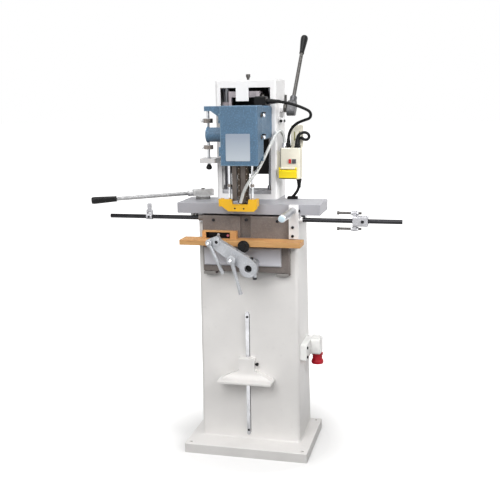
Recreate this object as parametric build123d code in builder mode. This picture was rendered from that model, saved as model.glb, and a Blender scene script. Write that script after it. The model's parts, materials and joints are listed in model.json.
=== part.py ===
from build123d import *
import math
import os

# A chain mortiser: a pedestal with a fence, a cross slide and an upright that carries the chain head.
# X runs to the operator's right, Y away from the operator, Z up. The floor is Z = 0 and the base plate
# is centred on the origin. All sizes are millimetres.

os.makedirs("parts", exist_ok=True)

# Base plate and column
BASE_WIDTH = 540
BASE_DEPTH = 396
BASE_HEIGHT = 42
BASE_CORNER_RADIUS = 6
BASE_CHAMFER = 2
BASE_HOLE_RADIUS = 7
BASE_HOLE_INSET = 24
COLUMN_FRONT = -89
COLUMN_BACK_FOOT = 190
COLUMN_BACK_TOP = 126
COLUMN_WIDTH_FOOT = 440
COLUMN_WIDTH_TOP = 430
COLUMN_WIDEST = max(COLUMN_WIDTH_FOOT, COLUMN_WIDTH_TOP)
COLUMN_DEEPEST = max(COLUMN_BACK_FOOT, COLUMN_BACK_TOP)
COLUMN_TOP = 1000
COLUMN_CORNER_RADIUS = 16
COLUMN_WALL = 8
CABLE_SLOT_Y = 28
CABLE_SLOT_BOTTOM = 325
CABLE_SLOT_TOP = 515
CABLE_SLOT_WIDTH = 8

# Shelf and its rail on the front of the column
RAIL_X = -6
RAIL_WIDTH = 15
RAIL_THICKNESS = 8
RAIL_BOTTOM = 62
RAIL_TOP = 617
SHELF_TOP = 326
SHELF_THICKNESS = 8
SHELF_WIDTH = 235
SHELF_FRONT = COLUMN_FRONT - 88
SHELF_BACK = COLUMN_FRONT - 10
SHELF_NECK_WIDTH = 70
SHELF_NECK_FRONT = COLUMN_FRONT - 33
SHELF_NECK_BOTTOM = SHELF_TOP + 36
SHELF_NECK_TOP = SHELF_TOP + 92
SHELF_CHAMFER = 3
SHELF_WEB_WIDTH = SHELF_WIDTH - 14
SHELF_COVE_RADIUS = 24
SLIDE_GAP = 0.4
KNOB_RADIUS = 7
KNOB_LENGTH = 11
KNOB_CHAMFER = 2

# Fence casting
FENCE_LEFT = -185
FENCE_RIGHT = 183
FENCE_TOP = COLUMN_TOP + 34
FENCE_HEIGHT = 236
FENCE_BOTTOM = FENCE_TOP - FENCE_HEIGHT
FENCE_THICKNESS = 38
FENCE_FRONT = COLUMN_FRONT - FENCE_THICKNESS
FENCE_CHAMFER = 2
CHANNEL_WIDTH = 47
CHANNEL_LENGTH = 88
CHANNEL_BOTTOM = FENCE_TOP - CHANNEL_LENGTH
CHANNEL_DEPTH = 20
FOOT_TAB_HEIGHT = 14
FOOT_TAB_WIDTH = 54
PLATE_LEFT = FENCE_LEFT + 7
PLATE_RIGHT = FENCE_RIGHT - 31
PLATE_HEIGHT = 79
PLATE_BOTTOM = FENCE_BOTTOM + 28
PLATE_TOP = PLATE_BOTTOM + PLATE_HEIGHT
PLATE_THICKNESS = 12
PLATE_CHAMFER = 4
PLATE_FRONT = FENCE_FRONT - PLATE_THICKNESS

# Wooden pieces against the fence
BOARD_LEFT = -260
BOARD_RIGHT = 246
BOARD_DEPTH = 86
BOARD_FRONT = FENCE_FRONT - BOARD_DEPTH
BOARD_THICKNESS = 21
BOARD_BOTTOM = FENCE_BOTTOM + 124
BOARD_TOP = BOARD_BOTTOM + BOARD_THICKNESS
BLOCK_LEFT = -180
BLOCK_RIGHT = -33
BLOCK_HEIGHT = 30
BLOCK_TOP = BOARD_TOP + BLOCK_HEIGHT
BLOCK_THICKNESS = 23
BLOCK_POCKET_LEFT = BLOCK_LEFT + 17
BLOCK_POCKET_RIGHT = BLOCK_RIGHT - 27
BLOCK_POCKET_HEIGHT = 25
BLOCK_POCKET_DEPTH = 15

# Stop rods, post bracket and posts
ROD_RADIUS = 9
ROD_Y = COLUMN_FRONT - 23
ROD_Z = FENCE_TOP - 12
ROD_LEFT_END = -602
ROD_RIGHT_END = 640
ROD_SEAT = 16
ROD_CHAMFER = 1
BOSS_RADIUS = 13
BOSS_LENGTH = 18
FIT_GAP = 0.05
BRACKET_LEFT = FENCE_RIGHT + 1
BRACKET_RIGHT = BRACKET_LEFT + 38
BRACKET_BOTTOM = FENCE_TOP - 131
BRACKET_SHOULDER = FENCE_TOP + 2
BRACKET_TOP = FENCE_TOP + 52
BRACKET_PLATE_BOTTOM = FENCE_TOP - 88
BRACKET_PLATE_LEFT = BRACKET_LEFT + 2
BRACKET_PLATE_RIGHT = BRACKET_LEFT + 42
BRACKET_PLATE_THICKNESS = 13
BRACKET_PLATE_RADIUS = 3
POST_RADIUS = 15
POST_X = BRACKET_LEFT + 18
POST_Z = BRACKET_TOP - 25
POST_LENGTH = 225
POST_SEAT_FLOOR = 1
POST_CHAMFER = 2
ARM_POST_RADIUS = 15
ARM_POST_LENGTH = 115
ARM_BORE_X = 47
ARM_BORE_Z = FENCE_BOTTOM + 46

# Cross slide between column and saddle
CROSS_BAR_RADIUS = 15
CROSS_BAR_Z = COLUMN_TOP + 21
CROSS_BAR_FRONT_Y = COLUMN_FRONT + 25
CROSS_BAR_BACK_Y = COLUMN_BACK_TOP - 22
CROSS_BAR_HALF = COLUMN_WIDTH_TOP / 2 - 1
BAR_SUPPORT_LENGTH = 18
BAR_SUPPORT_WIDTH = 2 * CROSS_BAR_RADIUS + 6
BAR_SUPPORT_TOP = COLUMN_TOP + 40
SADDLE_LEFT = -296
SADDLE_RIGHT = 312
SADDLE_FRONT = -124
SADDLE_BACK = 78
SADDLE_HEIGHT = 43
SADDLE_BOTTOM = COLUMN_TOP + 42
SADDLE_TOP = SADDLE_BOTTOM + SADDLE_HEIGHT
SADDLE_WALL = 6
SADDLE_ROOF = 8
SADDLE_CORNER_RADIUS = 5
TAIL_THICKNESS = 25
BEARING_X = -31
BEARING_OFFSET = 70
BEARING_LENGTH = 40
BEARING_WIDTH = 2 * CROSS_BAR_RADIUS + 10
BEARING_BOTTOM = COLUMN_TOP + 3

# Traverse lever, pinion and rack
PINION_X = SADDLE_LEFT + 74
PINION_Y = 12
PINION_TEETH = 16
PINION_MODULE = 6.25
PINION_WIDTH = 18
PINION_BOTTOM = COLUMN_TOP + 16
PINION_TOP = PINION_BOTTOM + PINION_WIDTH
PINION_BOSS_GAP = 2
PRESSURE_ANGLE = 20
PINION_ADDENDUM = 6
PINION_DEDENDUM = 7
TOOTH_BACKLASH = 0.5
TRAVERSE_SHAFT_RADIUS = 9
TRAVERSE_BOSS_RADIUS = 20
RACK_HALF_LENGTH = 96
RACK_BACKING = 7.2
RACK_ADDENDUM = 5
RACK_DEDENDUM = 7.8
TRAVERSE_COLLAR_RADIUS = 30
TRAVERSE_COLLAR_HEIGHT = 15
TRAVERSE_HUB_LENGTH = 92
TRAVERSE_HUB_WIDTH = 34
TRAVERSE_HUB_HEIGHT = 28
TRAVERSE_HUB_RADIUS = 8
TRAVERSE_HUB_CHAMFER = 2
TRAVERSE_SOCKET_RADIUS = 12
TRAVERSE_SOCKET_END = 66
TRAVERSE_ROD_RADIUS = 8
TRAVERSE_GRIP_START = 372
TRAVERSE_GRIP_LENGTH = 106
TRAVERSE_ANGLE = 206.7
TRAVERSE_DROP_ANGLE = 2
TRAVERSE_GRIP_ROOT_RADIUS = 12
TRAVERSE_GRIP_TIP_RADIUS = 15
TRAVERSE_GRIP_CHAMFER = 2

# Upright frame and guide columns
UPRIGHT_LEFT = -163
UPRIGHT_RIGHT = 101
UPRIGHT_FRONT = 32
UPRIGHT_BACK = 212
UPRIGHT_HEIGHT = 503
UPRIGHT_TOP = SADDLE_TOP + UPRIGHT_HEIGHT
UPRIGHT_WALL = 6
UPRIGHT_FILLET = 8
OPENING_LEFT = UPRIGHT_LEFT + 22
OPENING_RIGHT = UPRIGHT_RIGHT - 25
OPENING_TOP = UPRIGHT_TOP - 32
SILL_HEIGHT = 22
TAB_LEFT = -73
TAB_RIGHT = -18
TAB_LENGTH = 56
TAB_BOTTOM = OPENING_TOP - TAB_LENGTH
BACK_PANEL_BOTTOM = SADDLE_TOP + 91
BACK_PANEL_THICKNESS = 3
COLUMN_TOP_SEAT = UPRIGHT_TOP - UPRIGHT_WALL
GUIDE_RADIUS = 15
GUIDE_LEFT_X = UPRIGHT_LEFT + 38
GUIDE_RIGHT_X = UPRIGHT_RIGHT - 31
GUIDE_Y = UPRIGHT_FRONT + 46
FOOT_BLOCK_FRONT = UPRIGHT_FRONT + 14
FOOT_BLOCK_BACK = FOOT_BLOCK_FRONT + 82
FOOT_BLOCK_WIDTH = GUIDE_RIGHT_X - GUIDE_LEFT_X + 41
FOOT_BLOCK_HEIGHT = 38
FOOT_BLOCK_TOP = SADDLE_TOP + FOOT_BLOCK_HEIGHT
FOOT_BLOCK_CHAMFER = 2
FOOT_COLLAR_RADIUS = GUIDE_RADIUS + 5
FOOT_COLLAR_HEIGHT = 17
WING_X = -25
WING_Y = UPRIGHT_FRONT + 28
WING_HUB_RADIUS = 6
WING_HEIGHT = 24
WING_REACH = 9
WING_THICKNESS = 4
WING_DIP = 4
WING_LIFT = 2

# Head: casing, crosshead and motor
HEAD_X = 6
HEAD_LEFT = HEAD_X - 76
HEAD_RIGHT = HEAD_X + 76
HEAD_PARTING = -137
HEAD_BACK = UPRIGHT_FRONT - 2
HEAD_TOP = SADDLE_TOP + 397
CASING_HEIGHT = 137
CASING_BOTTOM = HEAD_TOP - CASING_HEIGHT
CASING_WALL = 6
CASING_FILLET = 10
BACK_PLATE_BOTTOM = HEAD_TOP - 220
BACK_PLATE_THICKNESS = 8
LEFT_WALL_THICKNESS = 8
SPINDLE_RADIUS = 9
MOTOR_RADIUS = 58
MOTOR_FRONT = HEAD_PARTING + 19
SPINDLE_SEAT = 20
SPINDLE_END_GAP = 1
OUTLET_Y = HEAD_PARTING - 41
OUTLET_Z = HEAD_TOP - 111
OUTLET_RADIUS = 29
OUTLET_BORE = 24
OUTLET_END = HEAD_LEFT - 68
ARM_LEFT = HEAD_LEFT - 118
ARM_FRONT = -56
ARM_BACK = -24
ARM_TIP_HEIGHT = 20
ARM_ROOT_HEIGHT = 55
ARM_SHOULDER_X = HEAD_LEFT - 90
ARM_ELBOW_X = HEAD_LEFT - 40
ENTRY_LEFT = 24
ENTRY_RIGHT = HEAD_RIGHT + 6
ENTRY_FRONT = -40
ENTRY_BACK = 8
ENTRY_HEIGHT = 38
ENTRY_CHAMFER = 4
CROSSHEAD_FRONT = UPRIGHT_FRONT + 12
CROSSHEAD_BACK = CROSSHEAD_FRONT + 26
CROSSHEAD_LEFT = -108
CROSSHEAD_RIGHT = 32
CROSSHEAD_BOTTOM = HEAD_TOP - 130
CROSSHEAD_TOP = HEAD_TOP + 59
CROSSHEAD_BAND = 25
CROSSHEAD_POST = 12
SLEEVE_RADIUS = GUIDE_RADIUS + 6
SLEEVE_BOTTOM = HEAD_TOP - 120
SLEEVE_TOP = HEAD_TOP + 14
BRIDGE_TOP = HEAD_TOP - 22
NECK_TOP = HEAD_TOP - 10
NECK_CLEARANCE = 6
YOKE_LEFT = CROSSHEAD_RIGHT - 14
YOKE_FRONT = UPRIGHT_FRONT - 8
YOKE_BACK = UPRIGHT_FRONT + 50
YOKE_BOTTOM = HEAD_TOP + 16
YOKE_RIM = 6

# Feed shaft, rocker and lever
FEED_Y = GUIDE_Y + SLEEVE_RADIUS + 20
FEED_Z = HEAD_TOP - 14
FEED_SHAFT_RADIUS = 11
ROCKER_RADIUS = 80
ROCKER_LEFT = CROSSHEAD_RIGHT + 4
ROCKER_THICKNESS = 10
ROLLER_RADIUS = 7
ROLLER_Z = FEED_Z + 52
ROLLER_PLAY = 3.5
ROLLER_LEFT = YOKE_LEFT + 4
FEED_BOSS_RADIUS = FEED_SHAFT_RADIUS + 8
FEED_BOSS_START = UPRIGHT_RIGHT - 31
FEED_BOSS_END = UPRIGHT_RIGHT + 15
FEED_HUB_LEFT = FEED_BOSS_END + 16
FEED_HUB_LENGTH = 36
FEED_HUB_SPAN = 76
FEED_HUB_WIDTH = 40
FEED_HUB_CHAMFER = 2
FEED_LEVER_X = FEED_HUB_LEFT + FEED_HUB_LENGTH / 2
FEED_LEAN = 45
FEED_ROD_RADIUS = 8
FEED_SOCKET_RADIUS = 15
FEED_SOCKET_END = 62
FEED_GRIP_START = 335
FEED_GRIP_LENGTH = 111
FEED_GRIP_ROOT_RADIUS = 10
FEED_GRIP_TIP_RADIUS = 16.5
FEED_GRIP_CROWN = 9
FEED_GRIP_CAP_RADIUS = 10
FEED_SHAFT_SEAT = 24
ROCKER_END_RADIUS = 11
CLAMP_COLLAR_GAP = 2
CLAMP_COLLAR_RADIUS = FEED_SHAFT_RADIUS + 7
CLAMP_COLLAR_WIDTH = 11
CLAMP_PIN_RADIUS = 5.5
CLAMP_PIN_REACH = 56

# Chain, guide bar and sprocket
CHAIN_PITCH = 22.6
CHAIN_Y = HEAD_PARTING - 30
RUN_LINKS = 14
SPROCKET_SEATS = 4
SPROCKET_Z = HEAD_TOP - 65.6
NOSE_Z = SPROCKET_Z - RUN_LINKS * CHAIN_PITCH
CHAIN_WRAP = CHAIN_PITCH / 2 / math.sin(math.pi / SPROCKET_SEATS)
PIN_RADIUS = 3
PIN_SIDES = 8
PIN_GAP = 0.12
INNER_PLATE_NEAR = 3.2
PLATE_THICK = 4
PLATE_GAP = 0.2
LINK_END = 6
LINK_INSIDE = 5
LINK_OUTSIDE = 5
CUTTER_HEIGHT = 7.5
BAR_GAP = 0.4
BAR_SIDE_GAP = 0.58
BAR_HALF_WIDTH = CHAIN_WRAP - LINK_INSIDE - BAR_SIDE_GAP
BAR_HALF_THICKNESS = 7
RIB_HALF_WIDTH = CHAIN_WRAP - PIN_RADIUS - BAR_SIDE_GAP
RIB_HALF_THICKNESS = 2.8
BAR_MOUNT_TOP = SPROCKET_Z - 72.4
BAR_MOUNT_HEIGHT = 60
BAR_MOUNT_BOTTOM = BAR_MOUNT_TOP - BAR_MOUNT_HEIGHT
BREAKER_RIGHT = HEAD_X - CHAIN_WRAP - 10
BREAKER_WIDTH = 19
BREAKER_LEFT = BREAKER_RIGHT - BREAKER_WIDTH
BREAKER_BOTTOM = NOSE_Z + 4
BREAKER_TOP = BAR_MOUNT_TOP - 14
BREAKER_HALF_DEPTH = 10
SPROCKET_TIP_RADIUS = CHAIN_WRAP + 1.5
SEAT_GAP = 0.4
SPROCKET_HALF_WIDTH = 2.7
SPROCKET_NECK_RADIUS = CHAIN_WRAP * math.cos(math.pi / SPROCKET_SEATS) - LINK_INSIDE - 0.8
SPROCKET_SIDE_GAP = 0.6
SPROCKET_NUT_RADIUS = 10
SPROCKET_NUT_HEIGHT = 9

# Chain cover and nameplate
COVER_FRONT = HEAD_PARTING - 92
COVER_TOP = HEAD_TOP + 3
COVER_BOTTOM_FRONT = HEAD_TOP - 232
COVER_BOTTOM_BACK = HEAD_TOP - 195
COVER_WALL = 6
COVER_GAP = 0.5
COVER_FILLET = 8
HINGE_X = HEAD_LEFT - 4.5
HINGE_Y = COVER_FRONT + 5
HINGE_RADIUS = 4
HINGE_PIN_RADIUS = 2
HINGE_LENGTH = 24
HINGE_END_GAP = 0.5
HINGE_LUG_HEIGHT = 12
HINGE_LOW_Z = HEAD_TOP - 182
HINGE_HIGH_Z = HEAD_TOP - 52
HINGE_ROOT = 1
NAME_LEFT = HEAD_X - 54
NAME_WIDTH = 99
NAME_BOTTOM = HEAD_TOP - 213
NAME_HEIGHT = 107
NAME_THICKNESS = 1.5
NAME_RADIUS = 4
COVER_KNOB_Y = CHAIN_Y + 1
COVER_KNOB_LOW_Z = HEAD_TOP - 122
COVER_KNOB_HIGH_Z = HEAD_TOP - 36
COVER_KNOB_RADIUS = 9
COVER_KNOB_STEM = 4
COVER_KNOB_REACH = 18
COVER_KNOB_CHAMFER = 2

# Yellow guard and its rods
GUARD_LEFT = HEAD_X - 98
GUARD_RIGHT = HEAD_X + 61
GUARD_BOTTOM = NOSE_Z - 37
GUARD_TOP = NOSE_Z + 12
GUARD_MOUTH_LEFT = HEAD_X - 44
GUARD_MOUTH_RIGHT = HEAD_X + 27
GUARD_MOUTH_Z = NOSE_Z - 8
GUARD_MOUTH_SLANT = 3
GUARD_LEFT_CORNER = (40, 30)
GUARD_RIGHT_CORNER = (13, 12)
GUARD_FRONT = CHAIN_Y - 30
GUARD_FRONT_THICKNESS = 14
GUARD_BACK = CHAIN_Y + 14
GUARD_ARM_BOTTOM = NOSE_Z - 18
GUARD_ARM_WIDTH = 12
GUARD_SHELF_BOTTOM = NOSE_Z - 6
GUARD_SHELF_THICKNESS = 10
GUARD_SHELF_RIM = 9
GUARD_ARM_ROOT = 1
GUARD_SHELF_FRONT = CHAIN_Y - 8
GUARD_HOLE_LEFT_X = GUARD_LEFT + 68
GUARD_HOLE_RIGHT_X = GUARD_LEFT + 105
GUARD_HOLE_Z = GUARD_BOTTOM + 12
GUARD_HOLE_RADIUS = 3.5
GUARD_ROD_RADIUS = 5
GUARD_ROD_LEFT_X = HEAD_X - 58
GUARD_ROD_RIGHT_X = HEAD_X + 37
GUARD_LUG_BOTTOM = HEAD_TOP - 186
GUARD_LUG_TOP = GUARD_LUG_BOTTOM + 20
GUARD_LUG_WIDTH = 22
GUARD_COLLAR_RADIUS = 8.5
GUARD_COLLAR_HEIGHT = 10
GUARD_ROD_TOP = GUARD_LUG_TOP + 24

# Depth rod and its bracket
DEPTH_X = ARM_LEFT + 12
DEPTH_Y = (ARM_FRONT + ARM_BACK) / 2
DEPTH_RADIUS = 6
DEPTH_ROD_BOTTOM = HEAD_TOP - 246
DEPTH_ROD_TOP = HEAD_TOP - 3
DEPTH_BALL_Z = DEPTH_ROD_BOTTOM - 6
DEPTH_BALL_RADIUS = 13
DEPTH_BALL_SIDES = 16
COLLAR_RADIUS = 19
COLLAR_HEIGHT = 18
COLLAR_HIGH_Z = HEAD_TOP - 60
COLLAR_LOW_Z = HEAD_TOP - 170
COLLAR_SCREW_RADIUS = 4
COLLAR_SCREW_REACH = 23
DEPTH_BRACKET_LEFT = DEPTH_X - 34
DEPTH_BRACKET_FRONT = DEPTH_Y - 28
DEPTH_BRACKET_BOTTOM = SADDLE_TOP + 161
DEPTH_BRACKET_TOP = DEPTH_BRACKET_BOTTOM + 20
DEPTH_BRACKET_FILLET = 6
DEPTH_SLOT_LENGTH = 54
DEPTH_SLOT_WIDTH = 44

# Switch box, glands and cables
BOX_LEFT = UPRIGHT_RIGHT + 16
BOX_RIGHT = BOX_LEFT + 84
BOX_FRONT = UPRIGHT_FRONT
BOX_BACK = BOX_FRONT + 56
BOX_HEIGHT = 132
BOX_BOTTOM = SADDLE_TOP + 87
BOX_TOP = BOX_BOTTOM + BOX_HEIGHT
BOX_CORNER_RADIUS = 6
BOX_CHAMFER = 3
STOP_BUTTON_WIDTH = 10
START_BUTTON_WIDTH = 16
BUTTON_HEIGHT = 17
BUTTON_Z = BOX_BOTTOM + 76
STOP_BUTTON_X = BOX_LEFT + 41
START_BUTTON_X = BOX_LEFT + 59
BUTTON_PROUD = 5
BUTTON_DEPTH = 14
BUTTON_SEAT = 9
BUTTON_GAP = 0.3
BUTTON_CHAMFER = 1
SPACER_DEPTH = 36
SPACER_HEIGHT = 100
FLAP_TOP = BOX_BOTTOM + 46
FLAP_BOTTOM = BOX_BOTTOM + 3
FLAP_LEFT = BOX_LEFT - 5
FLAP_RIGHT = BOX_RIGHT - 13
FLAP_FRONT = BOX_FRONT - 11
FLAP_BACK = BOX_FRONT - 0.5
FLAP_PIVOT_Y = BOX_FRONT - 6
FLAP_PIVOT_RADIUS = 3
FLAP_EAR = 6
FLAP_EAR_RIM = 2
FLAP_SHOULDER = 6
FLAP_CORNER_RADIUS = 3
GLAND_RADIUS = 8.5
GLAND_HEIGHT = 18
GLAND_STEP = 1
MOTOR_GLAND = (BOX_LEFT + 30, BOX_FRONT + 28)
HOSE_GLAND = (BOX_LEFT + 14, BOX_FRONT + 18)
LOOP_GLAND_FRONT = (BOX_RIGHT - 15, BOX_FRONT + 16)
LOOP_GLAND_BACK = (BOX_RIGHT - 15, BOX_FRONT + 38)
SUPPLY_GLAND = (BOX_RIGHT - 9, BOX_FRONT + 28)
FOOT_GLAND = (UPRIGHT_RIGHT + 62, UPRIGHT_FRONT + 32)
FOOT_GLAND_LENGTH = 44
FOOT_GLAND_WIDTH = 20
FOOT_GLAND_HEIGHT = 12
FOOT_GLAND_CHAMFER = 3
MOTOR_CABLE_Y = -15
MOTOR_CABLE_Z = HEAD_TOP + 16
CABLE_RADIUS = 6
HOSE_RADIUS = 6.5
HOSE_BORE = 4.5
CORD_SIDES = 8
TERMINAL_LEFT = BOX_RIGHT - 47
TERMINAL_RIGHT = BOX_RIGHT + 5
TERMINAL_FRONT = BOX_BACK - 8
TERMINAL_BACK = BOX_BACK - 1
TERMINAL_TOP = BOX_TOP + 94
TERMINAL_RADIUS = 5
TERMINAL_SLOT_SPACING = 22
TERMINAL_SLOT_LENGTH = 40
TERMINAL_SLOT_WIDTH = 6

# Clamp arm and its levers
CLAMP_ARM_BACK = PLATE_FRONT - 106
CLAMP_ARM_THICKNESS = 30
CLAMP_ARM_FRONT = CLAMP_ARM_BACK - CLAMP_ARM_THICKNESS
CLAMP_BOSS_RADIUS = 36
CLAMP_OUTLINE = (
    (10, 41), (25, 28), (-36, 2), (-136, 73), (-168, 84), (-172, 112), (-153, 119), (-127, 129),
    (-111, 109),
)
PINCH_RADIUS = 7
PINCH_OFFSET = 24
PINCH_PROUD = 8
PAD_X = ARM_BORE_X - 32
PAD_Z = ARM_BORE_Z + 80
PAD_BACK = BOARD_FRONT - 1
PAD_THICKNESS = 22
PAD_FRONT = PAD_BACK - PAD_THICKNESS
PAD_BACK_RADIUS = 25
PAD_FRONT_RADIUS = 15
PAD_STEM_WIDTH = 20
PAD_STEM_DROP = 52
CLAMP_HUB_X = ARM_BORE_X - 62
CLAMP_HUB_Z = ARM_BORE_Z + 40
CLAMP_HUB_RADIUS = 18
CLAMP_HUB_LENGTH = 36
CLAMP_HUB_CHAMFER = 3
CLAMP_HANDLE_ROOT_RADIUS = 9
CLAMP_HANDLE_WAIST_RADIUS = 6.3
CLAMP_HANDLE_TIP_RADIUS = 8
CLAMP_HANDLE_WAIST = 0.6
CLAMP_HANDLE_END_X = ARM_BORE_X - 25
CLAMP_HANDLE_END_Z = ARM_BORE_Z - 99
CLAMP_HANDLE_SETBACK = 25
SIDE_HUB_X = ARM_BORE_X - 159
SIDE_HUB_Z = ARM_BORE_Z + 102
SIDE_HUB_RADIUS = 13
SIDE_HUB_LENGTH = 14
SIDE_HUB_CHAMFER = 2
SIDE_HANDLE_END_X = ARM_BORE_X - 102
SIDE_HANDLE_END_Z = ARM_BORE_Z - 21
SIDE_HANDLE_ROOT_RADIUS = 5.5
SIDE_HANDLE_TIP_RADIUS = 7.5
PIVOT_PIN_RADIUS = 6

# Stops on the rods
LEFT_STOP_X = -424
LEFT_STOP_LENGTH = 25
STOP_COLLAR_RADIUS = ROD_RADIUS + 4
FINGER_WIDTH = 14
FINGER_TIP_WIDTH = 12
FINGER_GAP = 0.4
FINGER_HALF_DEPTH = 7
FINGER_PIVOT_RISE = 11
FINGER_PIN_RADIUS = 3
FINGER_TOP = ROD_Z + 56
RIGHT_STOP_LEFT = 444
RIGHT_STOP_LENGTH = 60
RIGHT_STOP_HALF = ROD_RADIUS + 11
RIGHT_STOP_RADIUS = 6
RIGHT_PLATE_THICKNESS = 14
ADJUSTER_LEFT = RIGHT_STOP_LEFT - 64
ADJUSTER_RIGHT = RIGHT_STOP_LEFT + 34
ADJUSTER_RADIUS = 5
ADJUSTER_HEAD_RADIUS = 8
ADJUSTER_HEAD_HEIGHT = 8
ADJUSTER_RISE = RIGHT_STOP_HALF + 12
ADJUSTER_PLATE_RIM = 6

# Mains inlet on the right side of the column
INLET_LEFT = COLUMN_WIDEST / 2 + 2
INLET_RIGHT = INLET_LEFT + 68
INLET_FRONT = 32
INLET_BACK = 96
INLET_BOTTOM = 405
INLET_TOP = 474
INLET_RADIUS = 6
INLET_CHAMFER = 4
INLET_PLATE_FRONT = -66
INLET_PLATE_THICKNESS = 24
INLET_PLATE_RADIUS = 4
INLET_COLLAR_RADIUS = 27
INLET_COLLAR_TOP_RADIUS = 25
INLET_COLLAR_WAIST = 22
INLET_COLLAR_RIM = 7
INLET_COLLAR_BORE = 19
INLET_COLLAR_INSET = 19
INLET_COLLAR_LENGTH = 48
INLET_FLOOR = 6
INLET_PINS = 4
INLET_PIN_CIRCLE = 13
INLET_PIN_RADIUS = 3

# Screw heads
RAIL_SCREW_INSET = 22
RAIL_SCREW_HEIGHT = 1.5
RAIL_SCREW_RIM = 2
FENCE_SCREW_X = 136
FENCE_SCREW_Z = FENCE_TOP - 18
SCREW_HEAD_RADIUS = 6
SCREW_HEAD_SIDES = 12
SCREW_HEAD_HEIGHT = 5
PLATE_SCREW_RISES = (12, 48)
INLET_SCREW_INSET = (12, 14)


def half_width_at(height):
    """Half the column's outer width at a height above the floor."""
    share = (height - BASE_HEIGHT) / (COLUMN_TOP - BASE_HEIGHT)
    return (COLUMN_WIDTH_FOOT + share * (COLUMN_WIDTH_TOP - COLUMN_WIDTH_FOOT)) / 2


def back_at(height):
    """Where the column's back face is at a height."""
    share = (height - BASE_HEIGHT) / (COLUMN_TOP - BASE_HEIGHT)
    return COLUMN_BACK_FOOT + share * (COLUMN_BACK_TOP - COLUMN_BACK_FOOT)


def tapered_block(top, inset):
    """Adds the column's block up to a height from a front and a side profile, inset at its upright faces."""
    with BuildSketch(Plane.XZ.offset(-COLUMN_DEEPEST)) as front_view:
        with BuildLine():
            Polyline(
                (inset - half_width_at(BASE_HEIGHT), BASE_HEIGHT),
                (half_width_at(BASE_HEIGHT) - inset, BASE_HEIGHT),
                (half_width_at(top) - inset, top),
                (inset - half_width_at(top), top),
                close=True,
            )
        make_face()
    extrude(front_view.sketch, amount=COLUMN_DEEPEST - COLUMN_FRONT)
    with BuildSketch(Plane.YZ.offset(-COLUMN_WIDEST / 2)) as side_view:
        with BuildLine():
            Polyline(
                (COLUMN_FRONT + inset, BASE_HEIGHT),
                (back_at(BASE_HEIGHT) - inset, BASE_HEIGHT),
                (back_at(top) - inset, top),
                (COLUMN_FRONT + inset, top),
                close=True,
            )
        make_face()
    extrude(side_view.sketch, amount=COLUMN_WIDEST, mode=Mode.INTERSECT)


def leans_upright(edge):
    """Whether an edge runs more up than along."""
    return abs((edge @ 1 - edge @ 0).Z) > edge.length / 2


def rod_plane(start, end):
    """A plane at the start of a rod that faces along it."""
    return Plane(origin=start, z_dir=Vector(*end) - Vector(*start))


def rod_length(start, end):
    return (Vector(*end) - Vector(*start)).length


def screw_heads(plane, places):
    """Adds screw heads that stand on a plane."""
    with BuildSketch(plane) as heads:
        with Locations(*places):
            RegularPolygon(SCREW_HEAD_RADIUS, SCREW_HEAD_SIDES)
    extrude(heads.sketch, amount=SCREW_HEAD_HEIGHT)


def corner_radii(points):
    """The bend radius at each inner point of a cord's route, as large as its runs allow."""
    radii = []
    for before, here, after in zip(points, points[1:], points[2:]):
        arriving = Vector(*here) - Vector(*before)
        leaving = Vector(*after) - Vector(*here)
        turn = math.radians(arriving.get_angle(leaving))
        radii.append(0.45 * min(arriving.length, leaving.length) / math.tan(turn / 2))
    return radii


def cord_wire(points):
    """A cord's centre line: straight runs joined by tangent arcs."""
    with BuildLine() as route:
        FilletPolyline(*points, radius=corner_radii(points))
    return route.wire()


def cord_area(radius):
    """The area of a cord's many-sided section."""
    return CORD_SIDES / 2 * radius ** 2 * math.sin(2 * math.pi / CORD_SIDES)


def report_cord(name, points, wire, volume, area):
    """Prints a cord's bend radii, length and how its volume compares with its section."""
    radii = [round(radius, 1) for radius in corner_radii(points)]
    print(name, "radii", radii, "length", round(wire.length, 1), "volume share",
          round(volume / (area * wire.length), 4))


# Base plate
with BuildPart() as base_plate:
    with BuildSketch():
        RectangleRounded(BASE_WIDTH, BASE_DEPTH, BASE_CORNER_RADIUS)
    extrude(amount=BASE_HEIGHT)
    chamfer(base_plate.faces().sort_by(Axis.Z)[-1].outer_wire().edges(), BASE_CHAMFER)
    with GridLocations(BASE_WIDTH - 2 * BASE_HOLE_INSET, BASE_DEPTH - 2 * BASE_HOLE_INSET, 2, 2):
        Hole(BASE_HOLE_RADIUS)
base_plate.part.label = "base_plate"
export_step(base_plate.part, "parts/base_plate.step")

# Column: a hollow casting that tapers towards the top, with rounded upright edges
with BuildPart() as column_core:
    tapered_block(COLUMN_TOP - COLUMN_WALL, COLUMN_WALL)
    fillet(column_core.edges().filter_by(leans_upright), COLUMN_CORNER_RADIUS - COLUMN_WALL)
with BuildPart() as column:
    tapered_block(COLUMN_TOP, 0)
    fillet(column.edges().filter_by(leans_upright), COLUMN_CORNER_RADIUS)
    add(column_core.part, mode=Mode.SUBTRACT)
    with BuildSketch(Plane.YZ.offset(max(half_width_at(CABLE_SLOT_BOTTOM), half_width_at(CABLE_SLOT_TOP)))):
        with Locations((CABLE_SLOT_Y, (CABLE_SLOT_BOTTOM + CABLE_SLOT_TOP) / 2)):
            SlotOverall(CABLE_SLOT_TOP - CABLE_SLOT_BOTTOM, CABLE_SLOT_WIDTH, rotation=90)
    extrude(amount=-4 * COLUMN_WALL, mode=Mode.SUBTRACT)
column.part.label = "column"
export_step(column.part, "parts/column.step")

# Shelf rail
with BuildPart() as rest_rail:
    with BuildSketch(Plane.XZ.offset(-COLUMN_FRONT)):
        with Locations((RAIL_X, (RAIL_BOTTOM + RAIL_TOP) / 2)):
            SlotOverall(RAIL_TOP - RAIL_BOTTOM, RAIL_WIDTH, rotation=90)
    extrude(amount=RAIL_THICKNESS)
rest_rail.part.label = "rest_rail"
export_step(rest_rail.part, "parts/rest_rail.step")

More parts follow.
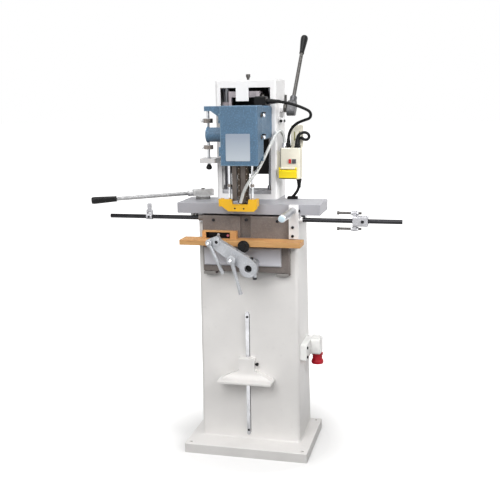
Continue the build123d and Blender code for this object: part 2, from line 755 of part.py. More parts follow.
# Shelf: a ledge under a web that flares from a neck on the rail and runs into the ledge in a cove
SHELF_NECK_BACK = COLUMN_FRONT - SLIDE_GAP
SHELF_COVE_FRONT = SHELF_NECK_FRONT - SHELF_COVE_RADIUS
with BuildPart() as shelf:
    with BuildSketch(Plane.XZ.offset(-SHELF_NECK_BACK)):
        with BuildLine():
            Polyline(
                (RAIL_X - SHELF_WEB_WIDTH / 2, SHELF_TOP),
                (RAIL_X + SHELF_WEB_WIDTH / 2, SHELF_TOP),
                (RAIL_X + SHELF_NECK_WIDTH / 2, SHELF_NECK_BOTTOM),
                (RAIL_X - SHELF_NECK_WIDTH / 2, SHELF_NECK_BOTTOM),
                close=True,
            )
        make_face()
    extrude(amount=SHELF_NECK_BACK - SHELF_COVE_FRONT)
    with BuildSketch(Plane.YZ.offset(RAIL_X - SHELF_WIDTH)):
        with Locations((SHELF_COVE_FRONT, SHELF_TOP + SHELF_COVE_RADIUS)):
            Circle(SHELF_COVE_RADIUS)
        with Locations((SHELF_COVE_FRONT, SHELF_NECK_TOP)):
            Rectangle(2 * SHELF_COVE_RADIUS, 2 * (SHELF_NECK_TOP - SHELF_TOP - SHELF_COVE_RADIUS))
    extrude(amount=2 * SHELF_WIDTH, mode=Mode.SUBTRACT)
    with BuildSketch(Plane.XY.offset(SHELF_TOP)):
        with Locations((RAIL_X, (SHELF_FRONT + SHELF_BACK) / 2)):
            Rectangle(SHELF_WIDTH, SHELF_BACK - SHELF_FRONT)
    extrude(amount=-SHELF_THICKNESS)
    with BuildSketch(Plane.XY.offset(SHELF_NECK_BOTTOM)):
        with Locations((RAIL_X, (SHELF_NECK_FRONT + SHELF_NECK_BACK) / 2)):
            Rectangle(SHELF_NECK_WIDTH, SHELF_NECK_BACK - SHELF_NECK_FRONT)
    extrude(amount=SHELF_NECK_TOP - SHELF_NECK_BOTTOM)
    chamfer(shelf.faces().sort_by(Axis.Z)[-1].edges(), SHELF_CHAMFER)
    with BuildSketch(Plane.XZ.offset(-COLUMN_FRONT)):
        with Locations((RAIL_X, SHELF_NECK_BOTTOM)):
            Rectangle(RAIL_WIDTH + 2 * SLIDE_GAP, RAIL_TOP - RAIL_BOTTOM)
    extrude(amount=RAIL_THICKNESS + SLIDE_GAP, mode=Mode.SUBTRACT)
shelf.part.label = "shelf"
export_step(shelf.part, "parts/shelf.step")

# Clamp knob on the shelf's neck
SHELF_KNOB_Z = (SHELF_NECK_BOTTOM + SHELF_NECK_TOP) / 2
SHELF_KNOB_Y = (SHELF_NECK_FRONT + SHELF_NECK_BACK) / 2
with BuildPart() as shelf_knob:
    with BuildSketch(Plane.YZ.offset(RAIL_X + SHELF_NECK_WIDTH / 2)):
        with Locations((SHELF_KNOB_Y, SHELF_KNOB_Z)):
            Circle(KNOB_RADIUS / 2)
    extrude(amount=KNOB_LENGTH / 3)
    with BuildSketch(Plane.YZ.offset(RAIL_X + SHELF_NECK_WIDTH / 2 + KNOB_LENGTH / 3)):
        with Locations((SHELF_KNOB_Y, SHELF_KNOB_Z)):
            Circle(KNOB_RADIUS)
    extrude(amount=KNOB_LENGTH)
    chamfer(shelf_knob.faces().sort_by(Axis.X)[-1].edges(), KNOB_CHAMFER)
shelf_knob.part.label = "shelf_knob"
export_step(shelf_knob.part, "parts/shelf_knob.step")

# Fence casting with chain channel, foot tabs and a boss for the left stop rod
with BuildPart() as fence_casting:
    with BuildSketch(Plane.XZ.offset(-COLUMN_FRONT)):
        with Locations(((FENCE_LEFT + FENCE_RIGHT) / 2, (FENCE_BOTTOM + FENCE_TOP) / 2)):
            Rectangle(FENCE_RIGHT - FENCE_LEFT, FENCE_TOP - FENCE_BOTTOM)
    extrude(amount=FENCE_THICKNESS)
    chamfer(fence_casting.faces().sort_by(Axis.Y)[0].edges(), FENCE_CHAMFER)
    with BuildSketch(Plane.XZ.offset(-FENCE_FRONT)):
        with Locations((0, (CHANNEL_BOTTOM + FENCE_TOP) / 2)):
            Rectangle(CHANNEL_WIDTH, FENCE_TOP - CHANNEL_BOTTOM)
    extrude(amount=-CHANNEL_DEPTH, mode=Mode.SUBTRACT)
    with BuildSketch(Plane.XZ.offset(-COLUMN_FRONT)):
        for tab_x in (FENCE_LEFT + FOOT_TAB_WIDTH / 2, FENCE_RIGHT - FOOT_TAB_WIDTH / 2):
            with Locations((tab_x, FENCE_BOTTOM - FOOT_TAB_HEIGHT / 2)):
                Rectangle(FOOT_TAB_WIDTH, FOOT_TAB_HEIGHT)
    extrude(amount=FENCE_THICKNESS / 2)
    with BuildSketch(Plane.YZ.offset(FENCE_LEFT)):
        with Locations((ROD_Y, ROD_Z)):
            Circle(BOSS_RADIUS)
    extrude(amount=-BOSS_LENGTH)
    with BuildSketch(Plane.YZ.offset(FENCE_LEFT - BOSS_LENGTH)):
        with Locations((ROD_Y, ROD_Z)):
            Circle(ROD_RADIUS + FIT_GAP)
    extrude(amount=ROD_SEAT, mode=Mode.SUBTRACT)
fence_casting.part.label = "fence_casting"
export_step(fence_casting.part, "parts/fence_casting.step")

# Light wear plate on the lower half of the fence, with drafted edges
with BuildPart() as fence_panel:
    with BuildSketch(Plane.XZ.offset(-FENCE_FRONT)):
        with Locations(((PLATE_LEFT + PLATE_RIGHT) / 2, (PLATE_BOTTOM + PLATE_TOP) / 2)):
            Rectangle(PLATE_RIGHT - PLATE_LEFT, PLATE_TOP - PLATE_BOTTOM)
    extrude(amount=PLATE_THICKNESS)
    chamfer(fence_panel.faces().sort_by(Axis.Y)[0].edges(), PLATE_CHAMFER)
fence_panel.part.label = "fence_panel"
export_step(fence_panel.part, "parts/fence_panel.step")

# Wooden board and the pocketed wooden block that stands on it
with BuildPart() as wood_board:
    with BuildSketch(Plane.XY.offset(BOARD_BOTTOM)):
        with Locations(((BOARD_LEFT + BOARD_RIGHT) / 2, (BOARD_FRONT + FENCE_FRONT) / 2)):
            Rectangle(BOARD_RIGHT - BOARD_LEFT, FENCE_FRONT - BOARD_FRONT)
    extrude(amount=BOARD_TOP - BOARD_BOTTOM)
wood_board.part.label = "wood_board"
export_step(wood_board.part, "parts/wood_board.step")

with BuildPart() as wood_block:
    with BuildSketch(Plane.XZ.offset(-FENCE_FRONT)):
        with Locations(((BLOCK_LEFT + BLOCK_RIGHT) / 2, (BOARD_TOP + BLOCK_TOP) / 2)):
            Rectangle(BLOCK_RIGHT - BLOCK_LEFT, BLOCK_TOP - BOARD_TOP)
    extrude(amount=BLOCK_THICKNESS)
    with BuildSketch(Plane.XZ.offset(-FENCE_FRONT + BLOCK_THICKNESS)):
        with Locations(((BLOCK_POCKET_LEFT + BLOCK_POCKET_RIGHT) / 2, BOARD_TOP + BLOCK_POCKET_HEIGHT / 2)):
            Rectangle(BLOCK_POCKET_RIGHT - BLOCK_POCKET_LEFT, BLOCK_POCKET_HEIGHT)
    extrude(amount=-BLOCK_POCKET_DEPTH, mode=Mode.SUBTRACT)
wood_block.part.label = "wood_block"
export_step(wood_block.part, "parts/wood_block.step")

# White bracket beside the fence: it holds the steel post and the right stop rod
BRACKET_PLATE_FRONT = FENCE_FRONT - BRACKET_PLATE_THICKNESS
with BuildPart() as post_bracket:
    with BuildSketch(Plane.XZ.offset(-COLUMN_FRONT)):
        with Locations(((BRACKET_LEFT + BRACKET_RIGHT) / 2, (BRACKET_BOTTOM + BRACKET_SHOULDER) / 2)):
            Rectangle(BRACKET_RIGHT - BRACKET_LEFT, BRACKET_SHOULDER - BRACKET_BOTTOM)
    extrude(amount=FENCE_THICKNESS)
    with BuildSketch(Plane.XZ.offset(-FENCE_FRONT)):
        with Locations(((BRACKET_PLATE_LEFT + BRACKET_PLATE_RIGHT) / 2,
                        (BRACKET_PLATE_BOTTOM + BRACKET_TOP) / 2)):
            RectangleRounded(
                BRACKET_PLATE_RIGHT - BRACKET_PLATE_LEFT,
                BRACKET_TOP - BRACKET_PLATE_BOTTOM,
                BRACKET_PLATE_RADIUS,
            )
    extrude(amount=BRACKET_PLATE_THICKNESS)
    with BuildSketch(Plane.YZ.offset(BRACKET_RIGHT)):
        with Locations((ROD_Y, ROD_Z)):
            Circle(BOSS_RADIUS)
    extrude(amount=BOSS_LENGTH)
    with BuildSketch(Plane.YZ.offset(BRACKET_RIGHT + BOSS_LENGTH)):
        with Locations((ROD_Y, ROD_Z)):
            Circle(ROD_RADIUS + FIT_GAP)
    extrude(amount=-ROD_SEAT, mode=Mode.SUBTRACT)
    with BuildSketch(Plane.XZ.offset(-BRACKET_PLATE_FRONT)):
        with Locations((POST_X, POST_Z)):
            Circle(POST_RADIUS + FIT_GAP)
    extrude(amount=POST_SEAT_FLOOR - BRACKET_PLATE_THICKNESS, mode=Mode.SUBTRACT)
post_bracket.part.label = "post_bracket"
export_step(post_bracket.part, "parts/post_bracket.step")

# Steel posts: a long one in the bracket, a short one that carries the clamp arm
with BuildPart() as clamp_posts:
    with BuildSketch(Plane.XZ.offset(-FENCE_FRONT + POST_SEAT_FLOOR)):
        with Locations((POST_X, POST_Z)):
            Circle(POST_RADIUS)
    extrude(amount=POST_LENGTH)
    with BuildSketch(Plane.XZ.offset(-PLATE_FRONT)):
        with Locations((ARM_BORE_X, ARM_BORE_Z)):
            Circle(ARM_POST_RADIUS)
    extrude(amount=ARM_POST_LENGTH)
    chamfer(clamp_posts.edges().filter_by(GeomType.CIRCLE).group_by(Axis.Y)[0], POST_CHAMFER)
clamp_posts.part.label = "clamp_posts"
export_step(clamp_posts.part, "parts/clamp_posts.step")

# Stop rods on both sides
ROD_LEFT_SEAT = FENCE_LEFT - BOSS_LENGTH + ROD_SEAT
ROD_RIGHT_SEAT = BRACKET_RIGHT + BOSS_LENGTH - ROD_SEAT
with BuildPart() as stop_rods:
    for seat, end in ((ROD_LEFT_SEAT, ROD_LEFT_END), (ROD_RIGHT_SEAT, ROD_RIGHT_END)):
        with BuildSketch(Plane.YZ.offset(seat)):
            with Locations((ROD_Y, ROD_Z)):
                Circle(ROD_RADIUS)
        extrude(amount=end - seat)
    chamfer(stop_rods.edges().filter_by(GeomType.CIRCLE).group_by(Axis.X)[0], ROD_CHAMFER)
stop_rods.part.label = "stop_rods"
export_step(stop_rods.part, "parts/stop_rods.step")

# Cross guide bars and the supports that hold them on the column
with BuildPart() as guide_bars:
    for bar_y in (CROSS_BAR_FRONT_Y, CROSS_BAR_BACK_Y):
        with BuildSketch(Plane.YZ.offset(-CROSS_BAR_HALF)):
            with Locations((bar_y, CROSS_BAR_Z)):
                Circle(CROSS_BAR_RADIUS)
        extrude(amount=2 * CROSS_BAR_HALF)
        for support_x in (-CROSS_BAR_HALF + BAR_SUPPORT_LENGTH / 2, CROSS_BAR_HALF - BAR_SUPPORT_LENGTH / 2):
            with BuildSketch(Plane.XY.offset(COLUMN_TOP)):
                with Locations((support_x, bar_y)):
                    Rectangle(BAR_SUPPORT_LENGTH, BAR_SUPPORT_WIDTH)
            extrude(amount=BAR_SUPPORT_TOP - COLUMN_TOP)
guide_bars.part.label = "guide_bars"
export_step(guide_bars.part, "parts/guide_bars.step")

# Rack that the traverse pinion rolls along
PINION_RADIUS = PINION_MODULE * PINION_TEETH / 2
RACK_PITCH = math.pi * PINION_MODULE
FLANK_SLOPE = math.tan(math.radians(PRESSURE_ANGLE))
RACK_LINE_Y = PINION_Y + PINION_RADIUS
RACK_TIP_Y = RACK_LINE_Y - RACK_ADDENDUM
RACK_ROOT_Y = RACK_LINE_Y + RACK_DEDENDUM
RACK_BACK = RACK_ROOT_Y + RACK_BACKING
RACK_SPACES = 2 * int(RACK_HALF_LENGTH / RACK_PITCH)
with BuildPart() as traverse_rack:
    with BuildSketch(Plane.XY.offset(PINION_BOTTOM)):
        with Locations((PINION_X, (RACK_TIP_Y + RACK_BACK) / 2)):
            Rectangle(2 * RACK_HALF_LENGTH, RACK_BACK - RACK_TIP_Y)
        for index in range(-RACK_SPACES // 2, RACK_SPACES // 2 + 1):
            space_x = PINION_X + index * RACK_PITCH
            wide = RACK_PITCH / 4 + RACK_ADDENDUM * FLANK_SLOPE
            narrow = RACK_PITCH / 4 - RACK_DEDENDUM * FLANK_SLOPE
            with BuildLine():
                Polyline(
                    (space_x - wide, RACK_TIP_Y),
                    (space_x - narrow, RACK_ROOT_Y),
                    (space_x + narrow, RACK_ROOT_Y),
                    (space_x + wide, RACK_TIP_Y),
                    close=True,
                )
            make_face(mode=Mode.SUBTRACT)
    extrude(amount=PINION_TOP - PINION_BOTTOM)
    with BuildSketch(Plane.XY.offset(COLUMN_TOP)):
        with Locations((-CROSS_BAR_HALF + 2 * BAR_SUPPORT_LENGTH, (RACK_ROOT_Y + RACK_BACK) / 2)):
            Rectangle(2 * BAR_SUPPORT_LENGTH, RACK_BACK - RACK_ROOT_Y)
    extrude(amount=PINION_BOTTOM - COLUMN_TOP)
traverse_rack.part.label = "traverse_rack"
export_step(traverse_rack.part, "parts/traverse_rack.step")

# Mains inlet: mounting box and body, then the red collar that points down
INLET_PLATE_RIGHT = INLET_LEFT + INLET_PLATE_THICKNESS
with BuildPart() as inlet_body:
    with BuildSketch(Plane.YZ.offset(INLET_LEFT)):
        with Locations(((INLET_FRONT + INLET_BACK) / 2, (INLET_BOTTOM + INLET_TOP) / 2)):
            RectangleRounded(INLET_BACK - INLET_FRONT, INLET_TOP - INLET_BOTTOM, INLET_RADIUS)
    extrude(amount=INLET_RIGHT - INLET_LEFT)
    chamfer(inlet_body.faces().sort_by(Axis.X)[-1].edges(), INLET_CHAMFER)
    with BuildSketch(Plane.YZ.offset(INLET_PLATE_RIGHT)):
        with Locations(((INLET_PLATE_FRONT + INLET_BACK) / 2, (INLET_BOTTOM + INLET_TOP) / 2)):
            RectangleRounded(INLET_BACK - INLET_PLATE_FRONT, INLET_TOP - INLET_BOTTOM, INLET_PLATE_RADIUS)
    extrude(amount=max(half_width_at(INLET_BOTTOM), half_width_at(INLET_TOP)) - INLET_PLATE_RIGHT)
inlet_body.part.label = "inlet_body"
export_step(inlet_body.part, "parts/inlet_body.step")

INLET_COLLAR_X = INLET_RIGHT - INLET_COLLAR_INSET
INLET_COLLAR_Y = (INLET_FRONT + INLET_BACK) / 2
with BuildPart() as inlet_collar:
    with BuildSketch(Plane.XY.offset(INLET_BOTTOM)):
        with Locations((INLET_COLLAR_X, INLET_COLLAR_Y)):
            Circle(INLET_COLLAR_WAIST)
    extrude(amount=-INLET_COLLAR_LENGTH)
    with BuildSketch(Plane.XY.offset(INLET_BOTTOM)):
        with Locations((INLET_COLLAR_X, INLET_COLLAR_Y)):
            Circle(INLET_COLLAR_TOP_RADIUS)
    extrude(amount=-INLET_COLLAR_RIM)
    with BuildSketch(Plane.XY.offset(INLET_BOTTOM - INLET_COLLAR_LENGTH)):
        with Locations((INLET_COLLAR_X, INLET_COLLAR_Y)):
            Circle(INLET_COLLAR_RADIUS)
    extrude(amount=INLET_COLLAR_RIM)
    with BuildSketch(Plane.XY.offset(INLET_BOTTOM - INLET_COLLAR_LENGTH)):
        with Locations((INLET_COLLAR_X, INLET_COLLAR_Y)):
            Circle(INLET_COLLAR_BORE)
            with PolarLocations(INLET_PIN_CIRCLE, INLET_PINS):
                RegularPolygon(INLET_PIN_RADIUS, PIN_SIDES, mode=Mode.SUBTRACT)
    extrude(amount=INLET_COLLAR_LENGTH - INLET_FLOOR, mode=Mode.SUBTRACT)
inlet_collar.part.label = "inlet_collar"
export_step(inlet_collar.part, "parts/inlet_collar.step")

# Black screw heads of the stand
FENCE_TAB_Z = FENCE_BOTTOM - FOOT_TAB_HEIGHT / 2
PLATE_SCREW_LOW, PLATE_SCREW_HIGH = PLATE_SCREW_RISES
INLET_SCREW_Y = INLET_PLATE_FRONT + INLET_SCREW_INSET[0]
with BuildPart() as black_screws:
    with BuildSketch(Plane.XZ.offset(-COLUMN_FRONT + RAIL_THICKNESS)):
        with Locations((RAIL_X, RAIL_TOP - RAIL_SCREW_INSET), (RAIL_X, RAIL_BOTTOM + RAIL_SCREW_INSET)):
            RegularPolygon(RAIL_WIDTH / 2 - RAIL_SCREW_RIM, SCREW_HEAD_SIDES)
    extrude(amount=RAIL_SCREW_HEIGHT)
    screw_heads(
        Plane.XZ.offset(-FENCE_FRONT),
        [(-FENCE_SCREW_X, FENCE_SCREW_Z), (FENCE_SCREW_X, FENCE_SCREW_Z)],
    )
    screw_heads(Plane.XZ.offset(-FENCE_FRONT - CHANNEL_DEPTH), [(0, FENCE_SCREW_Z)])
    screw_heads(
        Plane.XZ.offset(-COLUMN_FRONT + FENCE_THICKNESS / 2),
        [(FENCE_LEFT + FOOT_TAB_WIDTH / 2, FENCE_TAB_Z), (FENCE_RIGHT - FOOT_TAB_WIDTH / 2, FENCE_TAB_Z)],
    )
    screw_heads(
        Plane.XZ.offset(-BRACKET_PLATE_FRONT),
        [(POST_X, BRACKET_PLATE_BOTTOM + PLATE_SCREW_LOW), (POST_X, BRACKET_PLATE_BOTTOM + PLATE_SCREW_HIGH)],
    )
    screw_heads(Plane.YZ.offset(BRACKET_PLATE_RIGHT), [((FENCE_FRONT + BRACKET_PLATE_FRONT) / 2, POST_Z)])
    screw_heads(
        Plane.YZ.offset(INLET_PLATE_RIGHT),
        [
            (INLET_SCREW_Y, INLET_TOP - INLET_SCREW_INSET[1]),
            (INLET_SCREW_Y, INLET_BOTTOM + INLET_SCREW_INSET[1]),
        ],
    )
black_screws.part.label = "black_screws"
export_step(black_screws.part, "parts/black_screws.step")

# Saddle: an open-bottomed cover with a tail under the upright and four bearing blocks
with BuildPart() as saddle:
    with BuildSketch(Plane.XY.offset(SADDLE_BOTTOM)):
        with Locations(((SADDLE_LEFT + SADDLE_RIGHT) / 2, (SADDLE_FRONT + SADDLE_BACK) / 2)):
            RectangleRounded(SADDLE_RIGHT - SADDLE_LEFT, SADDLE_BACK - SADDLE_FRONT, SADDLE_CORNER_RADIUS)
    extrude(amount=SADDLE_TOP - SADDLE_BOTTOM)
    with BuildSketch(Plane.XY.offset(SADDLE_BOTTOM)):
        with Locations(((SADDLE_LEFT + SADDLE_RIGHT) / 2, (SADDLE_FRONT + SADDLE_BACK) / 2)):
            Rectangle(
                SADDLE_RIGHT - SADDLE_LEFT - 2 * SADDLE_WALL,
                SADDLE_BACK - SADDLE_FRONT - 2 * SADDLE_WALL,
            )
    extrude(amount=SADDLE_TOP - SADDLE_BOTTOM - SADDLE_ROOF, mode=Mode.SUBTRACT)
    with BuildSketch(Plane.XY.offset(SADDLE_TOP)):
        with Locations(((UPRIGHT_LEFT + UPRIGHT_RIGHT) / 2, (SADDLE_BACK - SADDLE_WALL + UPRIGHT_BACK) / 2)):
            Rectangle(UPRIGHT_RIGHT - UPRIGHT_LEFT, UPRIGHT_BACK - SADDLE_BACK + SADDLE_WALL)
    extrude(amount=-TAIL_THICKNESS)
    with BuildSketch(Plane.XY.offset(BEARING_BOTTOM)):
        for bar_y in (CROSS_BAR_FRONT_Y, CROSS_BAR_BACK_Y):
            with Locations((BEARING_X - BEARING_OFFSET, bar_y), (BEARING_X + BEARING_OFFSET, bar_y)):
                Rectangle(BEARING_LENGTH, BEARING_WIDTH)
    extrude(amount=SADDLE_TOP - SADDLE_ROOF / 2 - BEARING_BOTTOM)
    with BuildSketch(Plane.XY.offset(PINION_TOP + PINION_BOSS_GAP)):
        with Locations((PINION_X, PINION_Y)):
            Circle(TRAVERSE_BOSS_RADIUS)
    extrude(amount=SADDLE_TOP - SADDLE_ROOF / 2 - PINION_TOP - PINION_BOSS_GAP)
    with BuildSketch(Plane.XY.offset(PINION_TOP)):
        with Locations((PINION_X, PINION_Y)):
            Circle(TRAVERSE_SHAFT_RADIUS + FIT_GAP)
    extrude(amount=SADDLE_TOP - PINION_TOP, mode=Mode.SUBTRACT)
    with BuildSketch(Plane.YZ.offset(BEARING_X - BEARING_OFFSET - BEARING_LENGTH)):
        with Locations((CROSS_BAR_FRONT_Y, CROSS_BAR_Z), (CROSS_BAR_BACK_Y, CROSS_BAR_Z)):
            Circle(CROSS_BAR_RADIUS + FIT_GAP)
    extrude(amount=2 * BEARING_OFFSET + 2 * BEARING_LENGTH, mode=Mode.SUBTRACT)
saddle.part.label = "saddle"
export_step(saddle.part, "parts/saddle.step")

# Upright: a white frame, open at the back, with a wide window at the front
with BuildPart() as upright:
    with BuildSketch(Plane.XY.offset(SADDLE_TOP)):
        with Locations(((UPRIGHT_LEFT + UPRIGHT_RIGHT) / 2, (UPRIGHT_FRONT + UPRIGHT_BACK) / 2)):
            Rectangle(UPRIGHT_RIGHT - UPRIGHT_LEFT, UPRIGHT_BACK - UPRIGHT_FRONT)
    extrude(amount=UPRIGHT_TOP - SADDLE_TOP)
    fillet(upright.edges().filter_by(Axis.Z).group_by(Axis.Y)[0], UPRIGHT_FILLET)
    fillet(upright.faces().sort_by(Axis.Z)[-1].edges().group_by(Axis.Y)[:-1], UPRIGHT_FILLET / 2)
    with BuildSketch(Plane.XY.offset(SADDLE_TOP)):
        with Locations(
            (
                (UPRIGHT_LEFT + UPRIGHT_RIGHT) / 2,
                (UPRIGHT_FRONT + UPRIGHT_WALL + UPRIGHT_BACK) / 2,
            )
        ):
            Rectangle(
                UPRIGHT_RIGHT - UPRIGHT_LEFT - 2 * UPRIGHT_WALL,
                UPRIGHT_BACK - UPRIGHT_FRONT - UPRIGHT_WALL,
            )
    extrude(amount=COLUMN_TOP_SEAT - SADDLE_TOP, mode=Mode.SUBTRACT)
    with BuildSketch(Plane.XZ.offset(-UPRIGHT_FRONT)):
        with Locations(((OPENING_LEFT + OPENING_RIGHT) / 2, (SADDLE_TOP + SILL_HEIGHT + OPENING_TOP) / 2)):
            Rectangle(OPENING_RIGHT - OPENING_LEFT, OPENING_TOP - SADDLE_TOP - SILL_HEIGHT)
        with Locations(((TAB_LEFT + TAB_RIGHT) / 2, (TAB_BOTTOM + OPENING_TOP) / 2)):
            Rectangle(TAB_RIGHT - TAB_LEFT, OPENING_TOP - TAB_BOTTOM, mode=Mode.SUBTRACT)
    extrude(amount=-UPRIGHT_WALL, mode=Mode.SUBTRACT)
    with BuildSketch(Plane.YZ.offset(FEED_BOSS_START)):
        with Locations((FEED_Y, FEED_Z)):
            Circle(FEED_BOSS_RADIUS)
    extrude(amount=FEED_BOSS_END - FEED_BOSS_START)
    with BuildSketch(Plane.YZ.offset(FEED_BOSS_START)):
        with Locations((FEED_Y, FEED_Z)):
            Circle(FEED_SHAFT_RADIUS + FIT_GAP)
    extrude(amount=FEED_BOSS_END - FEED_BOSS_START, mode=Mode.SUBTRACT)
upright.part.label = "upright"
export_step(upright.part, "parts/upright.step")

# Grey foot block and the chrome guide columns that stand on it
with BuildPart() as foot_block:
    with BuildSketch(Plane.XY.offset(SADDLE_TOP)):
        with Locations(((GUIDE_LEFT_X + GUIDE_RIGHT_X) / 2, (FOOT_BLOCK_FRONT + FOOT_BLOCK_BACK) / 2)):
            Rectangle(FOOT_BLOCK_WIDTH, FOOT_BLOCK_BACK - FOOT_BLOCK_FRONT)
    extrude(amount=FOOT_BLOCK_TOP - SADDLE_TOP)
    chamfer(foot_block.faces().sort_by(Axis.Z)[-1].edges(), FOOT_BLOCK_CHAMFER)
foot_block.part.label = "foot_block"
export_step(foot_block.part, "parts/foot_block.step")

with BuildPart() as guide_columns:
    with BuildSketch(Plane.XY.offset(FOOT_BLOCK_TOP)):
        with Locations((GUIDE_LEFT_X, GUIDE_Y), (GUIDE_RIGHT_X, GUIDE_Y)):
            Circle(GUIDE_RADIUS)
    extrude(amount=COLUMN_TOP_SEAT - FOOT_BLOCK_TOP)
    with BuildSketch(Plane.XY.offset(FOOT_BLOCK_TOP)):
        with Locations((GUIDE_LEFT_X, GUIDE_Y), (GUIDE_RIGHT_X, GUIDE_Y)):
            Circle(FOOT_COLLAR_RADIUS)
    extrude(amount=FOOT_COLLAR_HEIGHT)
guide_columns.part.label = "guide_columns"
export_step(guide_columns.part, "parts/guide_columns.step")

# Black panel that closes the back of the upright
with BuildPart() as back_panel:
    with BuildSketch(Plane.XZ.offset(-UPRIGHT_BACK)):
        with Locations(((UPRIGHT_LEFT + UPRIGHT_RIGHT) / 2, (BACK_PANEL_BOTTOM + COLUMN_TOP_SEAT) / 2)):
            Rectangle(UPRIGHT_RIGHT - UPRIGHT_LEFT - 2 * UPRIGHT_WALL, COLUMN_TOP_SEAT - BACK_PANEL_BOTTOM)
    extrude(amount=BACK_PANEL_THICKNESS)
back_panel.part.label = "back_panel"
export_step(back_panel.part, "parts/back_panel.step")

# Wing screw on top of the upright
with BuildPart() as wing_screw:
    with BuildSketch(Plane.XY.offset(UPRIGHT_TOP)):
        with Locations((WING_X, WING_Y)):
            Circle(WING_HUB_RADIUS)
    extrude(amount=WING_HEIGHT)
    with BuildSketch(Plane.XZ.offset(-WING_Y)):
        with BuildLine():
            Polyline(
                (WING_X - WING_REACH, UPRIGHT_TOP + WING_HEIGHT),
                (WING_X - WING_REACH, UPRIGHT_TOP + WING_HEIGHT / 2),
                (WING_X, UPRIGHT_TOP + WING_LIFT),
                (WING_X + WING_REACH, UPRIGHT_TOP + WING_HEIGHT / 2),
                (WING_X + WING_REACH, UPRIGHT_TOP + WING_HEIGHT),
                (WING_X, UPRIGHT_TOP + WING_HEIGHT - WING_DIP),
                close=True,
            )
        make_face()
    extrude(amount=WING_THICKNESS / 2, both=True)
wing_screw.part.label = "wing_screw"
export_step(wing_screw.part, "parts/wing_screw.step")

# White bracket with a long slot that the depth rod runs through
with BuildPart() as depth_bracket:
    with BuildSketch(Plane.XY.offset(DEPTH_BRACKET_BOTTOM)):
        with Locations(((DEPTH_BRACKET_LEFT + OPENING_LEFT) / 2, (DEPTH_BRACKET_FRONT + UPRIGHT_FRONT) / 2)):
            Rectangle(OPENING_LEFT - DEPTH_BRACKET_LEFT, UPRIGHT_FRONT - DEPTH_BRACKET_FRONT)
        with Locations((DEPTH_X, DEPTH_Y)):
            SlotOverall(DEPTH_SLOT_LENGTH, DEPTH_SLOT_WIDTH, mode=Mode.SUBTRACT)
    extrude(amount=DEPTH_BRACKET_TOP - DEPTH_BRACKET_BOTTOM)
    fillet(depth_bracket.edges().filter_by(Axis.Z).group_by(Axis.Y)[0], DEPTH_BRACKET_FILLET)
depth_bracket.part.label = "depth_bracket"
export_step(depth_bracket.part, "parts/depth_bracket.step")

# Switch box on a spacer, with a seat for each button
with BuildPart() as switch_box:
    with BuildSketch(Plane.XZ.offset(-BOX_BACK)):
        with Locations(((BOX_LEFT + BOX_RIGHT) / 2, (BOX_BOTTOM + BOX_TOP) / 2)):
            RectangleRounded(BOX_RIGHT - BOX_LEFT, BOX_HEIGHT, BOX_CORNER_RADIUS)
    extrude(amount=BOX_BACK - BOX_FRONT)
    chamfer(switch_box.faces().sort_by(Axis.Y)[0].edges(), BOX_CHAMFER)
    with BuildSketch(Plane.YZ.offset(UPRIGHT_RIGHT)):
        with Locations(((BOX_FRONT + BOX_BACK) / 2, (BOX_BOTTOM + BOX_TOP) / 2)):
            Rectangle(SPACER_DEPTH, SPACER_HEIGHT)
    extrude(amount=BOX_LEFT - UPRIGHT_RIGHT)
    with BuildSketch(Plane.XZ.offset(-BOX_FRONT)):
        with Locations((STOP_BUTTON_X, BUTTON_Z)):
            Rectangle(STOP_BUTTON_WIDTH + 2 * BUTTON_GAP, BUTTON_HEIGHT + 2 * BUTTON_GAP)
        with Locations((START_BUTTON_X, BUTTON_Z)):
            Rectangle(START_BUTTON_WIDTH + 2 * BUTTON_GAP, BUTTON_HEIGHT + 2 * BUTTON_GAP)
    extrude(amount=-BUTTON_DEPTH, mode=Mode.SUBTRACT)
    with BuildSketch(Plane.YZ.offset(FLAP_LEFT + FLAP_EAR)):
        with Locations((FLAP_PIVOT_Y, FLAP_TOP)):
            Circle(FLAP_PIVOT_RADIUS)
        with Locations(((FLAP_PIVOT_Y + BOX_FRONT + BOX_CHAMFER) / 2, FLAP_TOP)):
            Rectangle(BOX_FRONT + BOX_CHAMFER - FLAP_PIVOT_Y, 2 * FLAP_PIVOT_RADIUS)
    extrude(amount=FLAP_RIGHT - FLAP_LEFT - 2 * FLAP_EAR)
switch_box.part.label = "switch_box"
export_step(switch_box.part, "parts/switch_box.step")

with BuildPart() as start_button:
    with BuildSketch(Plane.XZ.offset(-BOX_FRONT - BUTTON_SEAT)):
        with Locations((START_BUTTON_X, BUTTON_Z)):
            Rectangle(START_BUTTON_WIDTH, BUTTON_HEIGHT)
    extrude(amount=BUTTON_SEAT + BUTTON_PROUD)
    chamfer(start_button.faces().sort_by(Axis.Y)[0].edges(), BUTTON_CHAMFER)
start_button.part.label = "start_button"
export_step(start_button.part, "parts/start_button.step")

with BuildPart() as stop_button:
    with BuildSketch(Plane.XZ.offset(-BOX_FRONT - BUTTON_SEAT)):
        with Locations((STOP_BUTTON_X, BUTTON_Z)):
            Rectangle(STOP_BUTTON_WIDTH, BUTTON_HEIGHT)
    extrude(amount=BUTTON_SEAT + BUTTON_PROUD)
    chamfer(stop_button.faces().sort_by(Axis.Y)[0].edges(), BUTTON_CHAMFER)
stop_button.part.label = "stop_button"
export_step(stop_button.part, "parts/stop_button.step")

